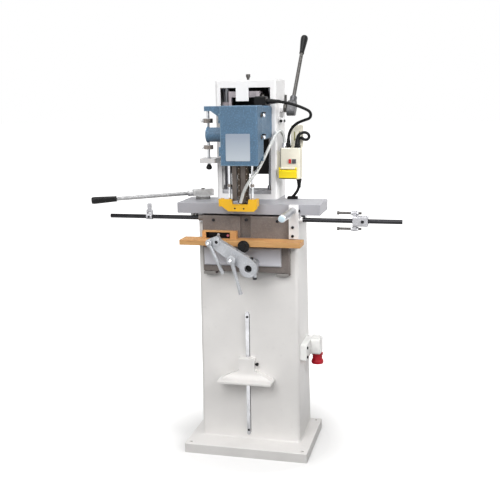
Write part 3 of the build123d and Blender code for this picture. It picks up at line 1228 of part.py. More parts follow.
# Yellow flap that hangs in front of the switch
FLAP_EAR_RADIUS = FLAP_PIVOT_RADIUS + FLAP_EAR_RIM
with BuildPart() as switch_flap:
    with BuildSketch(Plane.YZ.offset(FLAP_LEFT)):
        with BuildLine():
            Polyline(
                (FLAP_FRONT, FLAP_BOTTOM),
                (FLAP_BACK, FLAP_BOTTOM),
                (FLAP_BACK, FLAP_TOP - FLAP_EAR_RADIUS),
                (FLAP_PIVOT_Y + FLAP_PIVOT_RADIUS, FLAP_TOP - FLAP_EAR_RADIUS),
                (FLAP_FRONT, FLAP_TOP - FLAP_EAR_RADIUS - FLAP_SHOULDER),
                close=True,
            )
        make_face()
    extrude(amount=FLAP_RIGHT - FLAP_LEFT)
    fillet(switch_flap.edges().filter_by(Axis.Y), FLAP_CORNER_RADIUS)
    for ear_x in (FLAP_LEFT, FLAP_RIGHT - FLAP_EAR + FIT_GAP):
        with BuildSketch(Plane.YZ.offset(ear_x)):
            with Locations((FLAP_PIVOT_Y, FLAP_TOP)):
                Circle(FLAP_EAR_RADIUS)
            with Locations((FLAP_PIVOT_Y, FLAP_TOP - 2 * FLAP_PIVOT_RADIUS)):
                Rectangle(2 * FLAP_PIVOT_RADIUS, 4 * FLAP_PIVOT_RADIUS)
        extrude(amount=FLAP_EAR - FIT_GAP)
switch_flap.part.label = "switch_flap"
export_step(switch_flap.part, "parts/switch_flap.step")

# Cable glands on the switch box, and the block on the saddle that the supply goes into
with BuildPart() as cable_glands:
    with BuildSketch(Plane.XY.offset(BOX_TOP)):
        with Locations(MOTOR_GLAND, HOSE_GLAND, LOOP_GLAND_FRONT, LOOP_GLAND_BACK):
            RegularPolygon(GLAND_RADIUS, 6)
    extrude(amount=GLAND_HEIGHT / 2)
    with BuildSketch(Plane.XY.offset(BOX_TOP + GLAND_HEIGHT / 2)):
        with Locations(MOTOR_GLAND, HOSE_GLAND, LOOP_GLAND_FRONT, LOOP_GLAND_BACK):
            Circle(GLAND_RADIUS - GLAND_STEP)
    extrude(amount=GLAND_HEIGHT / 2)
    with BuildSketch(Plane.XY.offset(BOX_BOTTOM)):
        with Locations(SUPPLY_GLAND):
            RegularPolygon(GLAND_RADIUS, 6)
    extrude(amount=-GLAND_HEIGHT / 2)
    with BuildSketch(Plane.XY.offset(BOX_BOTTOM - GLAND_HEIGHT / 2)):
        with Locations(SUPPLY_GLAND):
            Circle(GLAND_RADIUS - GLAND_STEP)
    extrude(amount=-GLAND_HEIGHT / 2)
    with BuildSketch(Plane.XY.offset(SADDLE_TOP)):
        with Locations(FOOT_GLAND):
            Rectangle(FOOT_GLAND_LENGTH, FOOT_GLAND_WIDTH)
    foot_gland = extrude(amount=FOOT_GLAND_HEIGHT)
    chamfer(foot_gland.faces().sort_by(Axis.Z)[-1].edges(), FOOT_GLAND_CHAMFER)
cable_glands.part.label = "cable_glands"
export_step(cable_glands.part, "parts/cable_glands.step")

# Tall slotted cover behind the glands
with BuildPart() as terminal_cover:
    with BuildSketch(Plane.XZ.offset(-TERMINAL_BACK)):
        with Locations(((TERMINAL_LEFT + TERMINAL_RIGHT) / 2, (BOX_TOP + TERMINAL_TOP) / 2)):
            RectangleRounded(TERMINAL_RIGHT - TERMINAL_LEFT, TERMINAL_TOP - BOX_TOP, TERMINAL_RADIUS)
            with GridLocations(TERMINAL_SLOT_SPACING, 0, 2, 1):
                SlotOverall(TERMINAL_SLOT_LENGTH, TERMINAL_SLOT_WIDTH, rotation=90, mode=Mode.SUBTRACT)
    extrude(amount=TERMINAL_BACK - TERMINAL_FRONT)
terminal_cover.part.label = "terminal_cover"
export_step(terminal_cover.part, "parts/terminal_cover.step")

# Blower hose from the switch box to the chain
HOSE_POINTS = [
    (*HOSE_GLAND, BOX_TOP + GLAND_HEIGHT),
    (*HOSE_GLAND, BOX_TOP + 38),
    (128, 42, BOX_TOP + 59),
    (121, 25, BOX_TOP + 74),
    (111, 2, BOX_TOP + 67),
    (100, -20, BOX_TOP + 45),
    (86, -48, BOX_TOP + 12),
    (68, -98, BOX_TOP - 36),
    (59, -150, BOX_TOP - 72),
    (52, -196, BOX_TOP - 100),
    (33, -213, BOX_TOP - 132),
    (13, -211, BOX_TOP - 168),
    (3, -208, BOX_TOP - 204),
]
hose_wire = cord_wire(HOSE_POINTS)
with BuildPart() as blower_hose:
    with BuildSketch(rod_plane(HOSE_POINTS[0], HOSE_POINTS[1])):
        RegularPolygon(HOSE_RADIUS, CORD_SIDES)
        RegularPolygon(HOSE_BORE, CORD_SIDES, mode=Mode.SUBTRACT)
    sweep(path=hose_wire)
blower_hose.part.label = "blower_hose"
export_step(blower_hose.part, "parts/blower_hose.step")
report_cord("blower_hose", HOSE_POINTS, hose_wire, blower_hose.part.volume,
            cord_area(HOSE_RADIUS) - cord_area(HOSE_BORE))

# Motor cable from the entry box in a loose loop to the switch box
MOTOR_CABLE_POINTS = [
    (ENTRY_RIGHT, MOTOR_CABLE_Y, MOTOR_CABLE_Z),
    (112, MOTOR_CABLE_Y, MOTOR_CABLE_Z),
    (148, -9, MOTOR_CABLE_Z - 4),
    (186, -1, MOTOR_CABLE_Z - 15),
    (213, 4, MOTOR_CABLE_Z - 25),
    (232, 9, MOTOR_CABLE_Z - 34),
    (244, 13, MOTOR_CABLE_Z - 41),
    (250, 18, MOTOR_CABLE_Z - 51.5),
    (249, 23, MOTOR_CABLE_Z - 63.5),
    (241, 28, MOTOR_CABLE_Z - 72.5),
    (224, 34, MOTOR_CABLE_Z - 77.5),
    (202, 41, MOTOR_CABLE_Z - 85),
    (183, 47, MOTOR_CABLE_Z - 94),
    (167, 53, MOTOR_CABLE_Z - 107),
    (154, 57, MOTOR_CABLE_Z - 125),
    (*MOTOR_GLAND, BOX_TOP + 45),
    (*MOTOR_GLAND, BOX_TOP + GLAND_HEIGHT),
]
motor_cable_wire = cord_wire(MOTOR_CABLE_POINTS)
with BuildPart() as motor_cable:
    with BuildSketch(rod_plane(MOTOR_CABLE_POINTS[0], MOTOR_CABLE_POINTS[1])):
        RegularPolygon(CABLE_RADIUS, CORD_SIDES)
    sweep(path=motor_cable_wire)
motor_cable.part.label = "motor_cable"
export_step(motor_cable.part, "parts/motor_cable.step")
report_cord(
    "motor_cable",
    MOTOR_CABLE_POINTS,
    motor_cable_wire,
    motor_cable.part.volume,
    cord_area(CABLE_RADIUS),
)

# Loop between two glands of the switch box, and the supply cable that slants down to the block on the saddle
LOOP_POINTS = [
    (*LOOP_GLAND_FRONT, BOX_TOP + GLAND_HEIGHT),
    (*LOOP_GLAND_FRONT, BOX_TOP + 34),
    (190, 49, BOX_TOP + 49),
    (200, 52, BOX_TOP + 60),
    (216, 57, BOX_TOP + 65),
    (231, 62, BOX_TOP + 59),
    (236, 66, BOX_TOP + 45),
    (228, 69, BOX_TOP + 33),
    (213, 71, BOX_TOP + 32),
    (204.5, 71, BOX_TOP + 40),
    (193.5, 70.5, BOX_TOP + 39.5),
    (*LOOP_GLAND_BACK, BOX_TOP + 32),
    (*LOOP_GLAND_BACK, BOX_TOP + GLAND_HEIGHT),
]
SUPPLY_POINTS = [
    (*SUPPLY_GLAND, BOX_BOTTOM - GLAND_HEIGHT),
    (*SUPPLY_GLAND, BOX_BOTTOM - 36),
    (178, 62, SADDLE_TOP + 24),
    (150, 64, SADDLE_TOP),
]
FOOT_GLAND_TOP = SADDLE_TOP + FOOT_GLAND_HEIGHT
loop_wire = cord_wire(LOOP_POINTS)
supply_wire = cord_wire(SUPPLY_POINTS)
with BuildPart() as switch_cables:
    for points, wire in ((LOOP_POINTS, loop_wire), (SUPPLY_POINTS, supply_wire)):
        with BuildSketch(rod_plane(points[0], points[1])):
            RegularPolygon(CABLE_RADIUS, CORD_SIDES)
        sweep(path=wire)
    cables_volume = switch_cables.part.volume
    split(bisect_by=Plane.XY.offset(FOOT_GLAND_TOP), keep=Keep.TOP)
switch_cables.part.label = "switch_cables"
export_step(switch_cables.part, "parts/switch_cables.step")
report_cord("switch_loop", LOOP_POINTS, loop_wire, cables_volume,
            cord_area(CABLE_RADIUS) * (1 + supply_wire.length / loop_wire.length))
report_cord("supply_cable", SUPPLY_POINTS, supply_wire, cables_volume,
            cord_area(CABLE_RADIUS) * (1 + loop_wire.length / supply_wire.length))

# Traverse lever: hub, rod, shaft and the pinion that rolls on the rack
BASE_RADIUS = PINION_RADIUS * math.cos(math.radians(PRESSURE_ANGLE))
PINION_TIP_RADIUS = PINION_RADIUS + PINION_ADDENDUM
PINION_ROOT_RADIUS = PINION_RADIUS - PINION_DEDENDUM


def involute(angle):
    return math.tan(angle) - angle


def tooth_half_angle(radius):
    """Half the angle that a pinion tooth covers at a radius, less the backlash."""
    flank = math.acos(min(1, BASE_RADIUS / max(radius, BASE_RADIUS)))
    at_pitch = math.pi / 2 / PINION_TEETH - TOOTH_BACKLASH / 2 / PINION_RADIUS
    return at_pitch + involute(math.radians(PRESSURE_ANGLE)) - involute(flank)


def tooth_outline():
    """Corner points of one tooth that points along +Y."""
    steps = [PINION_ROOT_RADIUS - 1, BASE_RADIUS, PINION_RADIUS, PINION_TIP_RADIUS - 2, PINION_TIP_RADIUS]
    right = [(radius, tooth_half_angle(radius)) for radius in steps]
    left = [(radius, -half) for radius, half in reversed(right)]
    return [(radius * math.sin(turn), radius * math.cos(turn)) for radius, turn in right + left]


LEVER_HEAD_Z = SADDLE_TOP + TRAVERSE_COLLAR_HEIGHT + TRAVERSE_HUB_HEIGHT / 2
LEVER_DIRECTION = Vector(
    math.cos(math.radians(TRAVERSE_ANGLE)) * math.cos(math.radians(TRAVERSE_DROP_ANGLE)),
    math.sin(math.radians(TRAVERSE_ANGLE)) * math.cos(math.radians(TRAVERSE_DROP_ANGLE)),
    -math.sin(math.radians(TRAVERSE_DROP_ANGLE)),
)
LEVER_CENTRE = Vector(PINION_X, PINION_Y, LEVER_HEAD_Z)
LEVER_PLANE = Plane(origin=LEVER_CENTRE, z_dir=LEVER_DIRECTION)
with BuildPart() as traverse_lever:
    with BuildSketch(Plane.XY.offset(SADDLE_TOP)):
        with Locations((PINION_X, PINION_Y)):
            Circle(TRAVERSE_COLLAR_RADIUS)
    extrude(amount=TRAVERSE_COLLAR_HEIGHT)
    with BuildSketch(Plane.XY.offset(SADDLE_TOP + TRAVERSE_COLLAR_HEIGHT)):
        with Locations((PINION_X, PINION_Y)):
            RectangleRounded(
                TRAVERSE_HUB_LENGTH,
                TRAVERSE_HUB_WIDTH,
                TRAVERSE_HUB_RADIUS,
                rotation=TRAVERSE_ANGLE,
            )
    extrude(amount=TRAVERSE_HUB_HEIGHT)
    chamfer(traverse_lever.faces().sort_by(Axis.Z)[-1].edges(), TRAVERSE_HUB_CHAMFER)
    with BuildSketch(LEVER_PLANE):
        Circle(TRAVERSE_SOCKET_RADIUS)
    extrude(amount=TRAVERSE_SOCKET_END)
    with BuildSketch(LEVER_PLANE):
        Circle(TRAVERSE_ROD_RADIUS)
    extrude(amount=TRAVERSE_GRIP_START)
    with BuildSketch(Plane.XY.offset(SADDLE_TOP)):
        with Locations((PINION_X, PINION_Y)):
            Circle(TRAVERSE_SHAFT_RADIUS)
    extrude(amount=PINION_BOTTOM - SADDLE_TOP)
    with BuildSketch(Plane.XY.offset(PINION_BOTTOM)):
        with Locations((PINION_X, PINION_Y)):
            Circle(PINION_ROOT_RADIUS)
            with PolarLocations(0, PINION_TEETH):
                Polygon(*tooth_outline(), align=None)
    extrude(amount=PINION_TOP - PINION_BOTTOM)
traverse_lever.part.label = "traverse_lever"
export_step(traverse_lever.part, "parts/traverse_lever.step")

with BuildPart(LEVER_PLANE.offset(TRAVERSE_GRIP_START)) as traverse_grip:
    Cone(
        TRAVERSE_GRIP_ROOT_RADIUS,
        TRAVERSE_GRIP_TIP_RADIUS,
        TRAVERSE_GRIP_LENGTH,
        align=(Align.CENTER, Align.CENTER, Align.MIN),
    )
    chamfer(traverse_grip.edges().filter_by(GeomType.CIRCLE), TRAVERSE_GRIP_CHAMFER)
traverse_grip.part.label = "traverse_grip"
export_step(traverse_grip.part, "parts/traverse_grip.step")

# Head casing: motor housing, back plate of the chain chamber, its left wall, chip outlet and side arm
LEFT_WALL_FRONT = COVER_FRONT + COVER_WALL + COVER_GAP
LEFT_WALL_TOP = COVER_TOP - COVER_WALL - COVER_GAP
with BuildPart() as head_casing:
    with BuildSketch(Plane.XZ.offset(-HEAD_BACK)):
        with Locations(((HEAD_LEFT + HEAD_RIGHT) / 2, (CASING_BOTTOM + HEAD_TOP) / 2)):
            RectangleRounded(HEAD_RIGHT - HEAD_LEFT, HEAD_TOP - CASING_BOTTOM, CASING_FILLET)
    extrude(amount=HEAD_BACK - HEAD_PARTING)
    with BuildSketch(Plane.XZ.offset(-HEAD_PARTING)):
        with Locations(((HEAD_LEFT + HEAD_RIGHT) / 2, (BACK_PLATE_BOTTOM + HEAD_TOP) / 2)):
            Rectangle(HEAD_RIGHT - HEAD_LEFT, HEAD_TOP - BACK_PLATE_BOTTOM)
    extrude(amount=-BACK_PLATE_THICKNESS)
    with BuildSketch(Plane.YZ.offset(HEAD_LEFT)):
        with BuildLine():
            Polyline(
                (HEAD_PARTING, COVER_BOTTOM_BACK),
                (LEFT_WALL_FRONT, COVER_BOTTOM_FRONT),
                (LEFT_WALL_FRONT, LEFT_WALL_TOP),
                (HEAD_PARTING, LEFT_WALL_TOP),
                close=True,
            )
        make_face()
    extrude(amount=LEFT_WALL_THICKNESS)
    with BuildSketch(Plane.XZ.offset(-HEAD_BACK + CASING_WALL)):
        with Locations(((HEAD_LEFT + HEAD_RIGHT) / 2, (CASING_BOTTOM + HEAD_TOP) / 2)):
            RectangleRounded(
                HEAD_RIGHT - HEAD_LEFT - 2 * CASING_WALL,
                HEAD_TOP - CASING_BOTTOM - 2 * CASING_WALL,
                CASING_FILLET - CASING_WALL,
            )
    extrude(amount=HEAD_BACK - CASING_WALL - HEAD_PARTING - BACK_PLATE_THICKNESS, mode=Mode.SUBTRACT)
    with BuildSketch(Plane.XZ.offset(-ARM_FRONT)):
        with BuildLine():
            Polyline(
                (HEAD_LEFT, HEAD_TOP),
                (ARM_LEFT, HEAD_TOP),
                (ARM_LEFT, HEAD_TOP - ARM_TIP_HEIGHT),
                (ARM_SHOULDER_X, HEAD_TOP - ARM_TIP_HEIGHT),
                (ARM_ELBOW_X, HEAD_TOP - ARM_ROOT_HEIGHT),
                (HEAD_LEFT, HEAD_TOP - ARM_ROOT_HEIGHT),
                close=True,
            )
        make_face()
    extrude(amount=ARM_FRONT - ARM_BACK)
    with BuildSketch(Plane.YZ.offset(HEAD_LEFT)):
        with Locations((OUTLET_Y, OUTLET_Z)):
            Circle(OUTLET_RADIUS)
    extrude(amount=OUTLET_END - HEAD_LEFT)
    with BuildSketch(Plane.YZ.offset(OUTLET_END)):
        with Locations((OUTLET_Y, OUTLET_Z)):
            Circle(OUTLET_BORE)
    extrude(amount=HEAD_LEFT + LEFT_WALL_THICKNESS - OUTLET_END, mode=Mode.SUBTRACT)
    with BuildSketch(Plane.XY.offset(GUARD_LUG_BOTTOM)):
        for rod_x in (GUARD_ROD_LEFT_X, GUARD_ROD_RIGHT_X):
            with Locations((rod_x, (HEAD_PARTING + CHAIN_Y - GUARD_LUG_WIDTH / 2) / 2)):
                Rectangle(GUARD_LUG_WIDTH, HEAD_PARTING - CHAIN_Y + GUARD_LUG_WIDTH / 2)
    extrude(amount=GUARD_LUG_TOP - GUARD_LUG_BOTTOM)
    with BuildSketch(Plane.XY.offset(GUARD_LUG_BOTTOM)):
        with Locations((GUARD_ROD_LEFT_X, CHAIN_Y), (GUARD_ROD_RIGHT_X, CHAIN_Y)):
            Circle(GUARD_ROD_RADIUS + FIT_GAP)
    extrude(amount=GUARD_LUG_TOP - GUARD_LUG_BOTTOM, mode=Mode.SUBTRACT)
    with BuildSketch(Plane.XY.offset(HEAD_TOP)):
        with Locations((DEPTH_X, DEPTH_Y)):
            Circle(DEPTH_RADIUS + FIT_GAP)
    extrude(amount=-ARM_TIP_HEIGHT, mode=Mode.SUBTRACT)
    with BuildSketch(Plane.XZ.offset(-HEAD_PARTING)):
        with Locations((HEAD_X, SPROCKET_Z)):
            Circle(SPINDLE_RADIUS + FIT_GAP)
    extrude(amount=-BACK_PLATE_THICKNESS, mode=Mode.SUBTRACT)
    for barrel_z in (HINGE_LOW_Z, HINGE_HIGH_Z):
        with BuildSketch(Plane.XY.offset(barrel_z - HINGE_END_GAP)):
            with Locations((HINGE_X, HINGE_Y)):
                Circle(HINGE_RADIUS)
            with Locations(((HINGE_X - HINGE_RADIUS + HEAD_LEFT) / 2, LEFT_WALL_FRONT + HINGE_RADIUS / 2)):
                Rectangle(HEAD_LEFT - HINGE_X + HINGE_RADIUS, HINGE_RADIUS)
        extrude(amount=-HINGE_LUG_HEIGHT)
        with BuildSketch(Plane.XY.offset(barrel_z - HINGE_END_GAP - HINGE_LUG_HEIGHT / 2)):
            with Locations((HINGE_X, HINGE_Y)):
                Circle(HINGE_PIN_RADIUS)
        extrude(amount=HINGE_LENGTH + HINGE_LUG_HEIGHT / 2)
head_casing.part.label = "head_casing"
export_step(head_casing.part, "parts/head_casing.step")

# Crosshead: the grey slide behind the casing, with a sleeve on each guide column and a slotted yoke
CROSSHEAD_NECK_LEFT = HEAD_LEFT + CASING_FILLET
CROSSHEAD_NECK_RIGHT = OPENING_RIGHT - NECK_CLEARANCE
with BuildPart() as crosshead:
    with BuildSketch(Plane.XZ.offset(-CROSSHEAD_BACK)):
        with Locations(((CROSSHEAD_LEFT + CROSSHEAD_RIGHT) / 2, (CROSSHEAD_BOTTOM + CROSSHEAD_TOP) / 2)):
            Rectangle(CROSSHEAD_RIGHT - CROSSHEAD_LEFT, CROSSHEAD_TOP - CROSSHEAD_BOTTOM)
        with Locations(((CROSSHEAD_RIGHT + GUIDE_RIGHT_X) / 2, (SLEEVE_BOTTOM + BRIDGE_TOP) / 2)):
            Rectangle(GUIDE_RIGHT_X - CROSSHEAD_RIGHT, BRIDGE_TOP - SLEEVE_BOTTOM)
        with Locations(((GUIDE_LEFT_X + CROSSHEAD_LEFT) / 2, (SLEEVE_BOTTOM + BRIDGE_TOP) / 2)):
            Rectangle(CROSSHEAD_LEFT - GUIDE_LEFT_X, BRIDGE_TOP - SLEEVE_BOTTOM)
    extrude(amount=CROSSHEAD_BACK - CROSSHEAD_FRONT)
    with BuildSketch(Plane.XZ.offset(-CROSSHEAD_FRONT)):
        with Locations(((CROSSHEAD_NECK_LEFT + CROSSHEAD_NECK_RIGHT) / 2, (CROSSHEAD_BOTTOM + NECK_TOP) / 2)):
            Rectangle(CROSSHEAD_NECK_RIGHT - CROSSHEAD_NECK_LEFT, NECK_TOP - CROSSHEAD_BOTTOM)
    extrude(amount=CROSSHEAD_FRONT - HEAD_BACK)
    with BuildSketch(Plane.XY.offset(SLEEVE_BOTTOM)):
        with Locations((GUIDE_LEFT_X, GUIDE_Y), (GUIDE_RIGHT_X, GUIDE_Y)):
            Circle(SLEEVE_RADIUS)
    extrude(amount=SLEEVE_TOP - SLEEVE_BOTTOM)
    with BuildSketch(Plane.XZ.offset(-CROSSHEAD_BACK)):
        with BuildLine():
            Polyline(
                (CROSSHEAD_LEFT + CROSSHEAD_POST, NECK_TOP),
                (YOKE_LEFT - CROSSHEAD_POST, NECK_TOP),
                (YOKE_LEFT - CROSSHEAD_POST, CROSSHEAD_TOP - CROSSHEAD_BAND),
                (CROSSHEAD_LEFT + CROSSHEAD_POST, CROSSHEAD_TOP - CROSSHEAD_BAND),
                close=True,
            )
        make_face()
    extrude(amount=CROSSHEAD_BACK - CROSSHEAD_FRONT, mode=Mode.SUBTRACT)
    with BuildSketch(Plane.YZ.offset(YOKE_LEFT)):
        with Locations(((YOKE_FRONT + YOKE_BACK) / 2, (YOKE_BOTTOM + CROSSHEAD_TOP) / 2)):
            Rectangle(YOKE_BACK - YOKE_FRONT, CROSSHEAD_TOP - YOKE_BOTTOM)
    extrude(amount=CROSSHEAD_RIGHT - YOKE_LEFT)
    with BuildSketch(Plane.YZ.offset(YOKE_LEFT)):
        with Locations(((YOKE_FRONT + YOKE_BACK) / 2, ROLLER_Z)):
            SlotOverall(YOKE_BACK - YOKE_FRONT - 2 * YOKE_RIM, 2 * ROLLER_RADIUS + 2 * ROLLER_PLAY)
    extrude(amount=CROSSHEAD_RIGHT - YOKE_LEFT, mode=Mode.SUBTRACT)
    with BuildSketch(Plane.XY.offset(SLEEVE_BOTTOM)):
        with Locations((GUIDE_LEFT_X, GUIDE_Y), (GUIDE_RIGHT_X, GUIDE_Y)):
            Circle(GUIDE_RADIUS + FIT_GAP)
    extrude(amount=SLEEVE_TOP - SLEEVE_BOTTOM, mode=Mode.SUBTRACT)
crosshead.part.label = "crosshead"
export_step(crosshead.part, "parts/crosshead.step")

# Motor inside the casing, with a bore for the spindle
with BuildPart() as motor:
    with BuildSketch(Plane.XZ.offset(-HEAD_BACK + CASING_WALL)):
        with Locations((HEAD_X, SPROCKET_Z)):
            Circle(MOTOR_RADIUS)
    extrude(amount=HEAD_BACK - CASING_WALL - MOTOR_FRONT)
    with BuildSketch(Plane.XZ.offset(-MOTOR_FRONT)):
        with Locations((HEAD_X, SPROCKET_Z)):
            Circle(SPINDLE_RADIUS + FIT_GAP)
    extrude(amount=-SPINDLE_SEAT, mode=Mode.SUBTRACT)
motor.part.label = "motor"
export_step(motor.part, "parts/motor.step")

# Black cable entry box on top of the casing
with BuildPart() as entry_box:
    with BuildSketch(Plane.XY.offset(HEAD_TOP)):
        with Locations(((ENTRY_LEFT + HEAD_RIGHT - CASING_FILLET) / 2, (ENTRY_FRONT + ENTRY_BACK) / 2)):
            Rectangle(HEAD_RIGHT - CASING_FILLET - ENTRY_LEFT, ENTRY_BACK - ENTRY_FRONT)
    extrude(amount=ENTRY_HEIGHT)
    chamfer(entry_box.faces().sort_by(Axis.Z)[-1].edges(), ENTRY_CHAMFER)
    with BuildSketch(Plane.YZ.offset(HEAD_RIGHT - CASING_FILLET)):
        with Locations((MOTOR_CABLE_Y, MOTOR_CABLE_Z)):
            Circle(GLAND_RADIUS + GLAND_STEP)
    extrude(amount=ENTRY_RIGHT - HEAD_RIGHT + CASING_FILLET)
entry_box.part.label = "entry_box"
export_step(entry_box.part, "parts/entry_box.step")

# Depth rod with two collars and their thumb screws, and its ball
with BuildPart() as depth_rod:
    with BuildSketch(Plane.XY.offset(DEPTH_ROD_BOTTOM)):
        with Locations((DEPTH_X, DEPTH_Y)):
            Circle(DEPTH_RADIUS)
    extrude(amount=DEPTH_ROD_TOP - DEPTH_ROD_BOTTOM)
    for collar_z in (COLLAR_LOW_Z, COLLAR_HIGH_Z):
        with BuildSketch(Plane.XY.offset(collar_z - COLLAR_HEIGHT / 2)):
            with Locations((DEPTH_X, DEPTH_Y)):
                Circle(COLLAR_RADIUS)
        extrude(amount=COLLAR_HEIGHT)
        with BuildSketch(Plane.YZ.offset(DEPTH_X)):
            with Locations((DEPTH_Y, collar_z)):
                Circle(COLLAR_SCREW_RADIUS)
        extrude(amount=-COLLAR_SCREW_REACH)
depth_rod.part.label = "depth_rod"
export_step(depth_rod.part, "parts/depth_rod.step")

with BuildPart() as depth_ball:
    with BuildSketch(Plane.XZ.offset(-DEPTH_Y)):
        with Locations((DEPTH_X, DEPTH_BALL_Z)):
            RegularPolygon(DEPTH_BALL_RADIUS, DEPTH_BALL_SIDES)
        with Locations((DEPTH_X - DEPTH_BALL_RADIUS, DEPTH_BALL_Z)):
            Rectangle(2 * DEPTH_BALL_RADIUS, 4 * DEPTH_BALL_RADIUS, mode=Mode.SUBTRACT)
    revolve(axis=Axis((DEPTH_X, DEPTH_Y, 0), (0, 0, 1)))
    with BuildSketch(Plane.XY.offset(DEPTH_ROD_BOTTOM)):
        with Locations((DEPTH_X, DEPTH_Y)):
            Circle(DEPTH_RADIUS)
    extrude(amount=2 * DEPTH_BALL_RADIUS, mode=Mode.SUBTRACT)
depth_ball.part.label = "depth_ball"
export_step(depth_ball.part, "parts/depth_ball.step")

# Guide bar for the chain, with its rib and spacer, and the chip breaker beside it
NOSE_RADIUS = CHAIN_WRAP * math.cos(math.pi / SPROCKET_SEATS) - LINK_INSIDE - BAR_GAP
NOSE_SHOULDER = NOSE_Z + BAR_HALF_WIDTH - NOSE_RADIUS * math.sqrt(2)
with BuildPart() as guide_bar:
    with BuildSketch(Plane.XZ.offset(-CHAIN_Y)):
        with BuildLine():
            Polyline(
                (HEAD_X - BAR_HALF_WIDTH, BAR_MOUNT_TOP),
                (HEAD_X - BAR_HALF_WIDTH, NOSE_SHOULDER),
                (HEAD_X, NOSE_Z - NOSE_RADIUS * math.sqrt(2)),
                (HEAD_X + BAR_HALF_WIDTH, NOSE_SHOULDER),
                (HEAD_X + BAR_HALF_WIDTH, BAR_MOUNT_TOP),
                close=True,
            )
        body_outline = make_face()
        fillet(body_outline.vertices().sort_by(Axis.Y)[0], NOSE_RADIUS)
    extrude(amount=BAR_HALF_THICKNESS, both=True)
    with BuildSketch(Plane.XZ.offset(-CHAIN_Y)):
        with Locations((HEAD_X, (NOSE_Z + BAR_MOUNT_TOP) / 2)):
            Rectangle(2 * RIB_HALF_WIDTH, BAR_MOUNT_TOP - NOSE_Z)
        with Locations((HEAD_X, NOSE_Z)):
            Circle(RIB_HALF_WIDTH)
    extrude(amount=RIB_HALF_THICKNESS, both=True)
    with BuildSketch(Plane.XZ.offset(-HEAD_PARTING)):
        with Locations((HEAD_X, (BAR_MOUNT_BOTTOM + BAR_MOUNT_TOP) / 2)):
            Rectangle(2 * BAR_HALF_WIDTH, BAR_MOUNT_TOP - BAR_MOUNT_BOTTOM)
        with Locations(((BREAKER_LEFT + BREAKER_RIGHT) / 2, (BAR_MOUNT_BOTTOM + BREAKER_TOP) / 2)):
            Rectangle(BREAKER_RIGHT - BREAKER_LEFT, BREAKER_TOP - BAR_MOUNT_BOTTOM)
    extrude(amount=HEAD_PARTING - CHAIN_Y)
    with BuildSketch(Plane.YZ.offset(BREAKER_LEFT)):
        with BuildLine():
            Polyline(
                (CHAIN_Y + BREAKER_HALF_DEPTH, BREAKER_TOP),
                (CHAIN_Y - BREAKER_HALF_DEPTH, BREAKER_TOP),
                (CHAIN_Y - BREAKER_HALF_DEPTH, BREAKER_BOTTOM),
                (CHAIN_Y + BREAKER_HALF_DEPTH, BREAKER_BOTTOM),
                close=True,
            )
        make_face()
    extrude(amount=BREAKER_RIGHT - BREAKER_LEFT)
guide_bar.part.label = "guide_bar"
export_step(guide_bar.part, "parts/guide_bar.step")

# Mortise chain: pairs of inner plates and H links with their pins, round the bar's nose and the sprocket
chain_pins = [(HEAD_X - CHAIN_WRAP, NOSE_Z + step * CHAIN_PITCH) for step in range(RUN_LINKS + 1)]
chain_pins.append((HEAD_X, SPROCKET_Z + CHAIN_WRAP))
chain_pins += [(HEAD_X + CHAIN_WRAP, SPROCKET_Z - step * CHAIN_PITCH) for step in range(RUN_LINKS + 1)]
chain_pins.append((HEAD_X, NOSE_Z - CHAIN_WRAP))


def link_plane(index, depth):
    """A plane at a link's first pin: x along the link, y outwards, a depth behind the chain's middle."""
    start_x, start_z = chain_pins[index]
    end_x, end_z = chain_pins[(index + 1) % len(chain_pins)]
    return Plane(
        origin=(start_x, CHAIN_Y + depth, start_z),
        x_dir=(end_x - start_x, 0, end_z - start_z),
        z_dir=(0, -1, 0),
    )


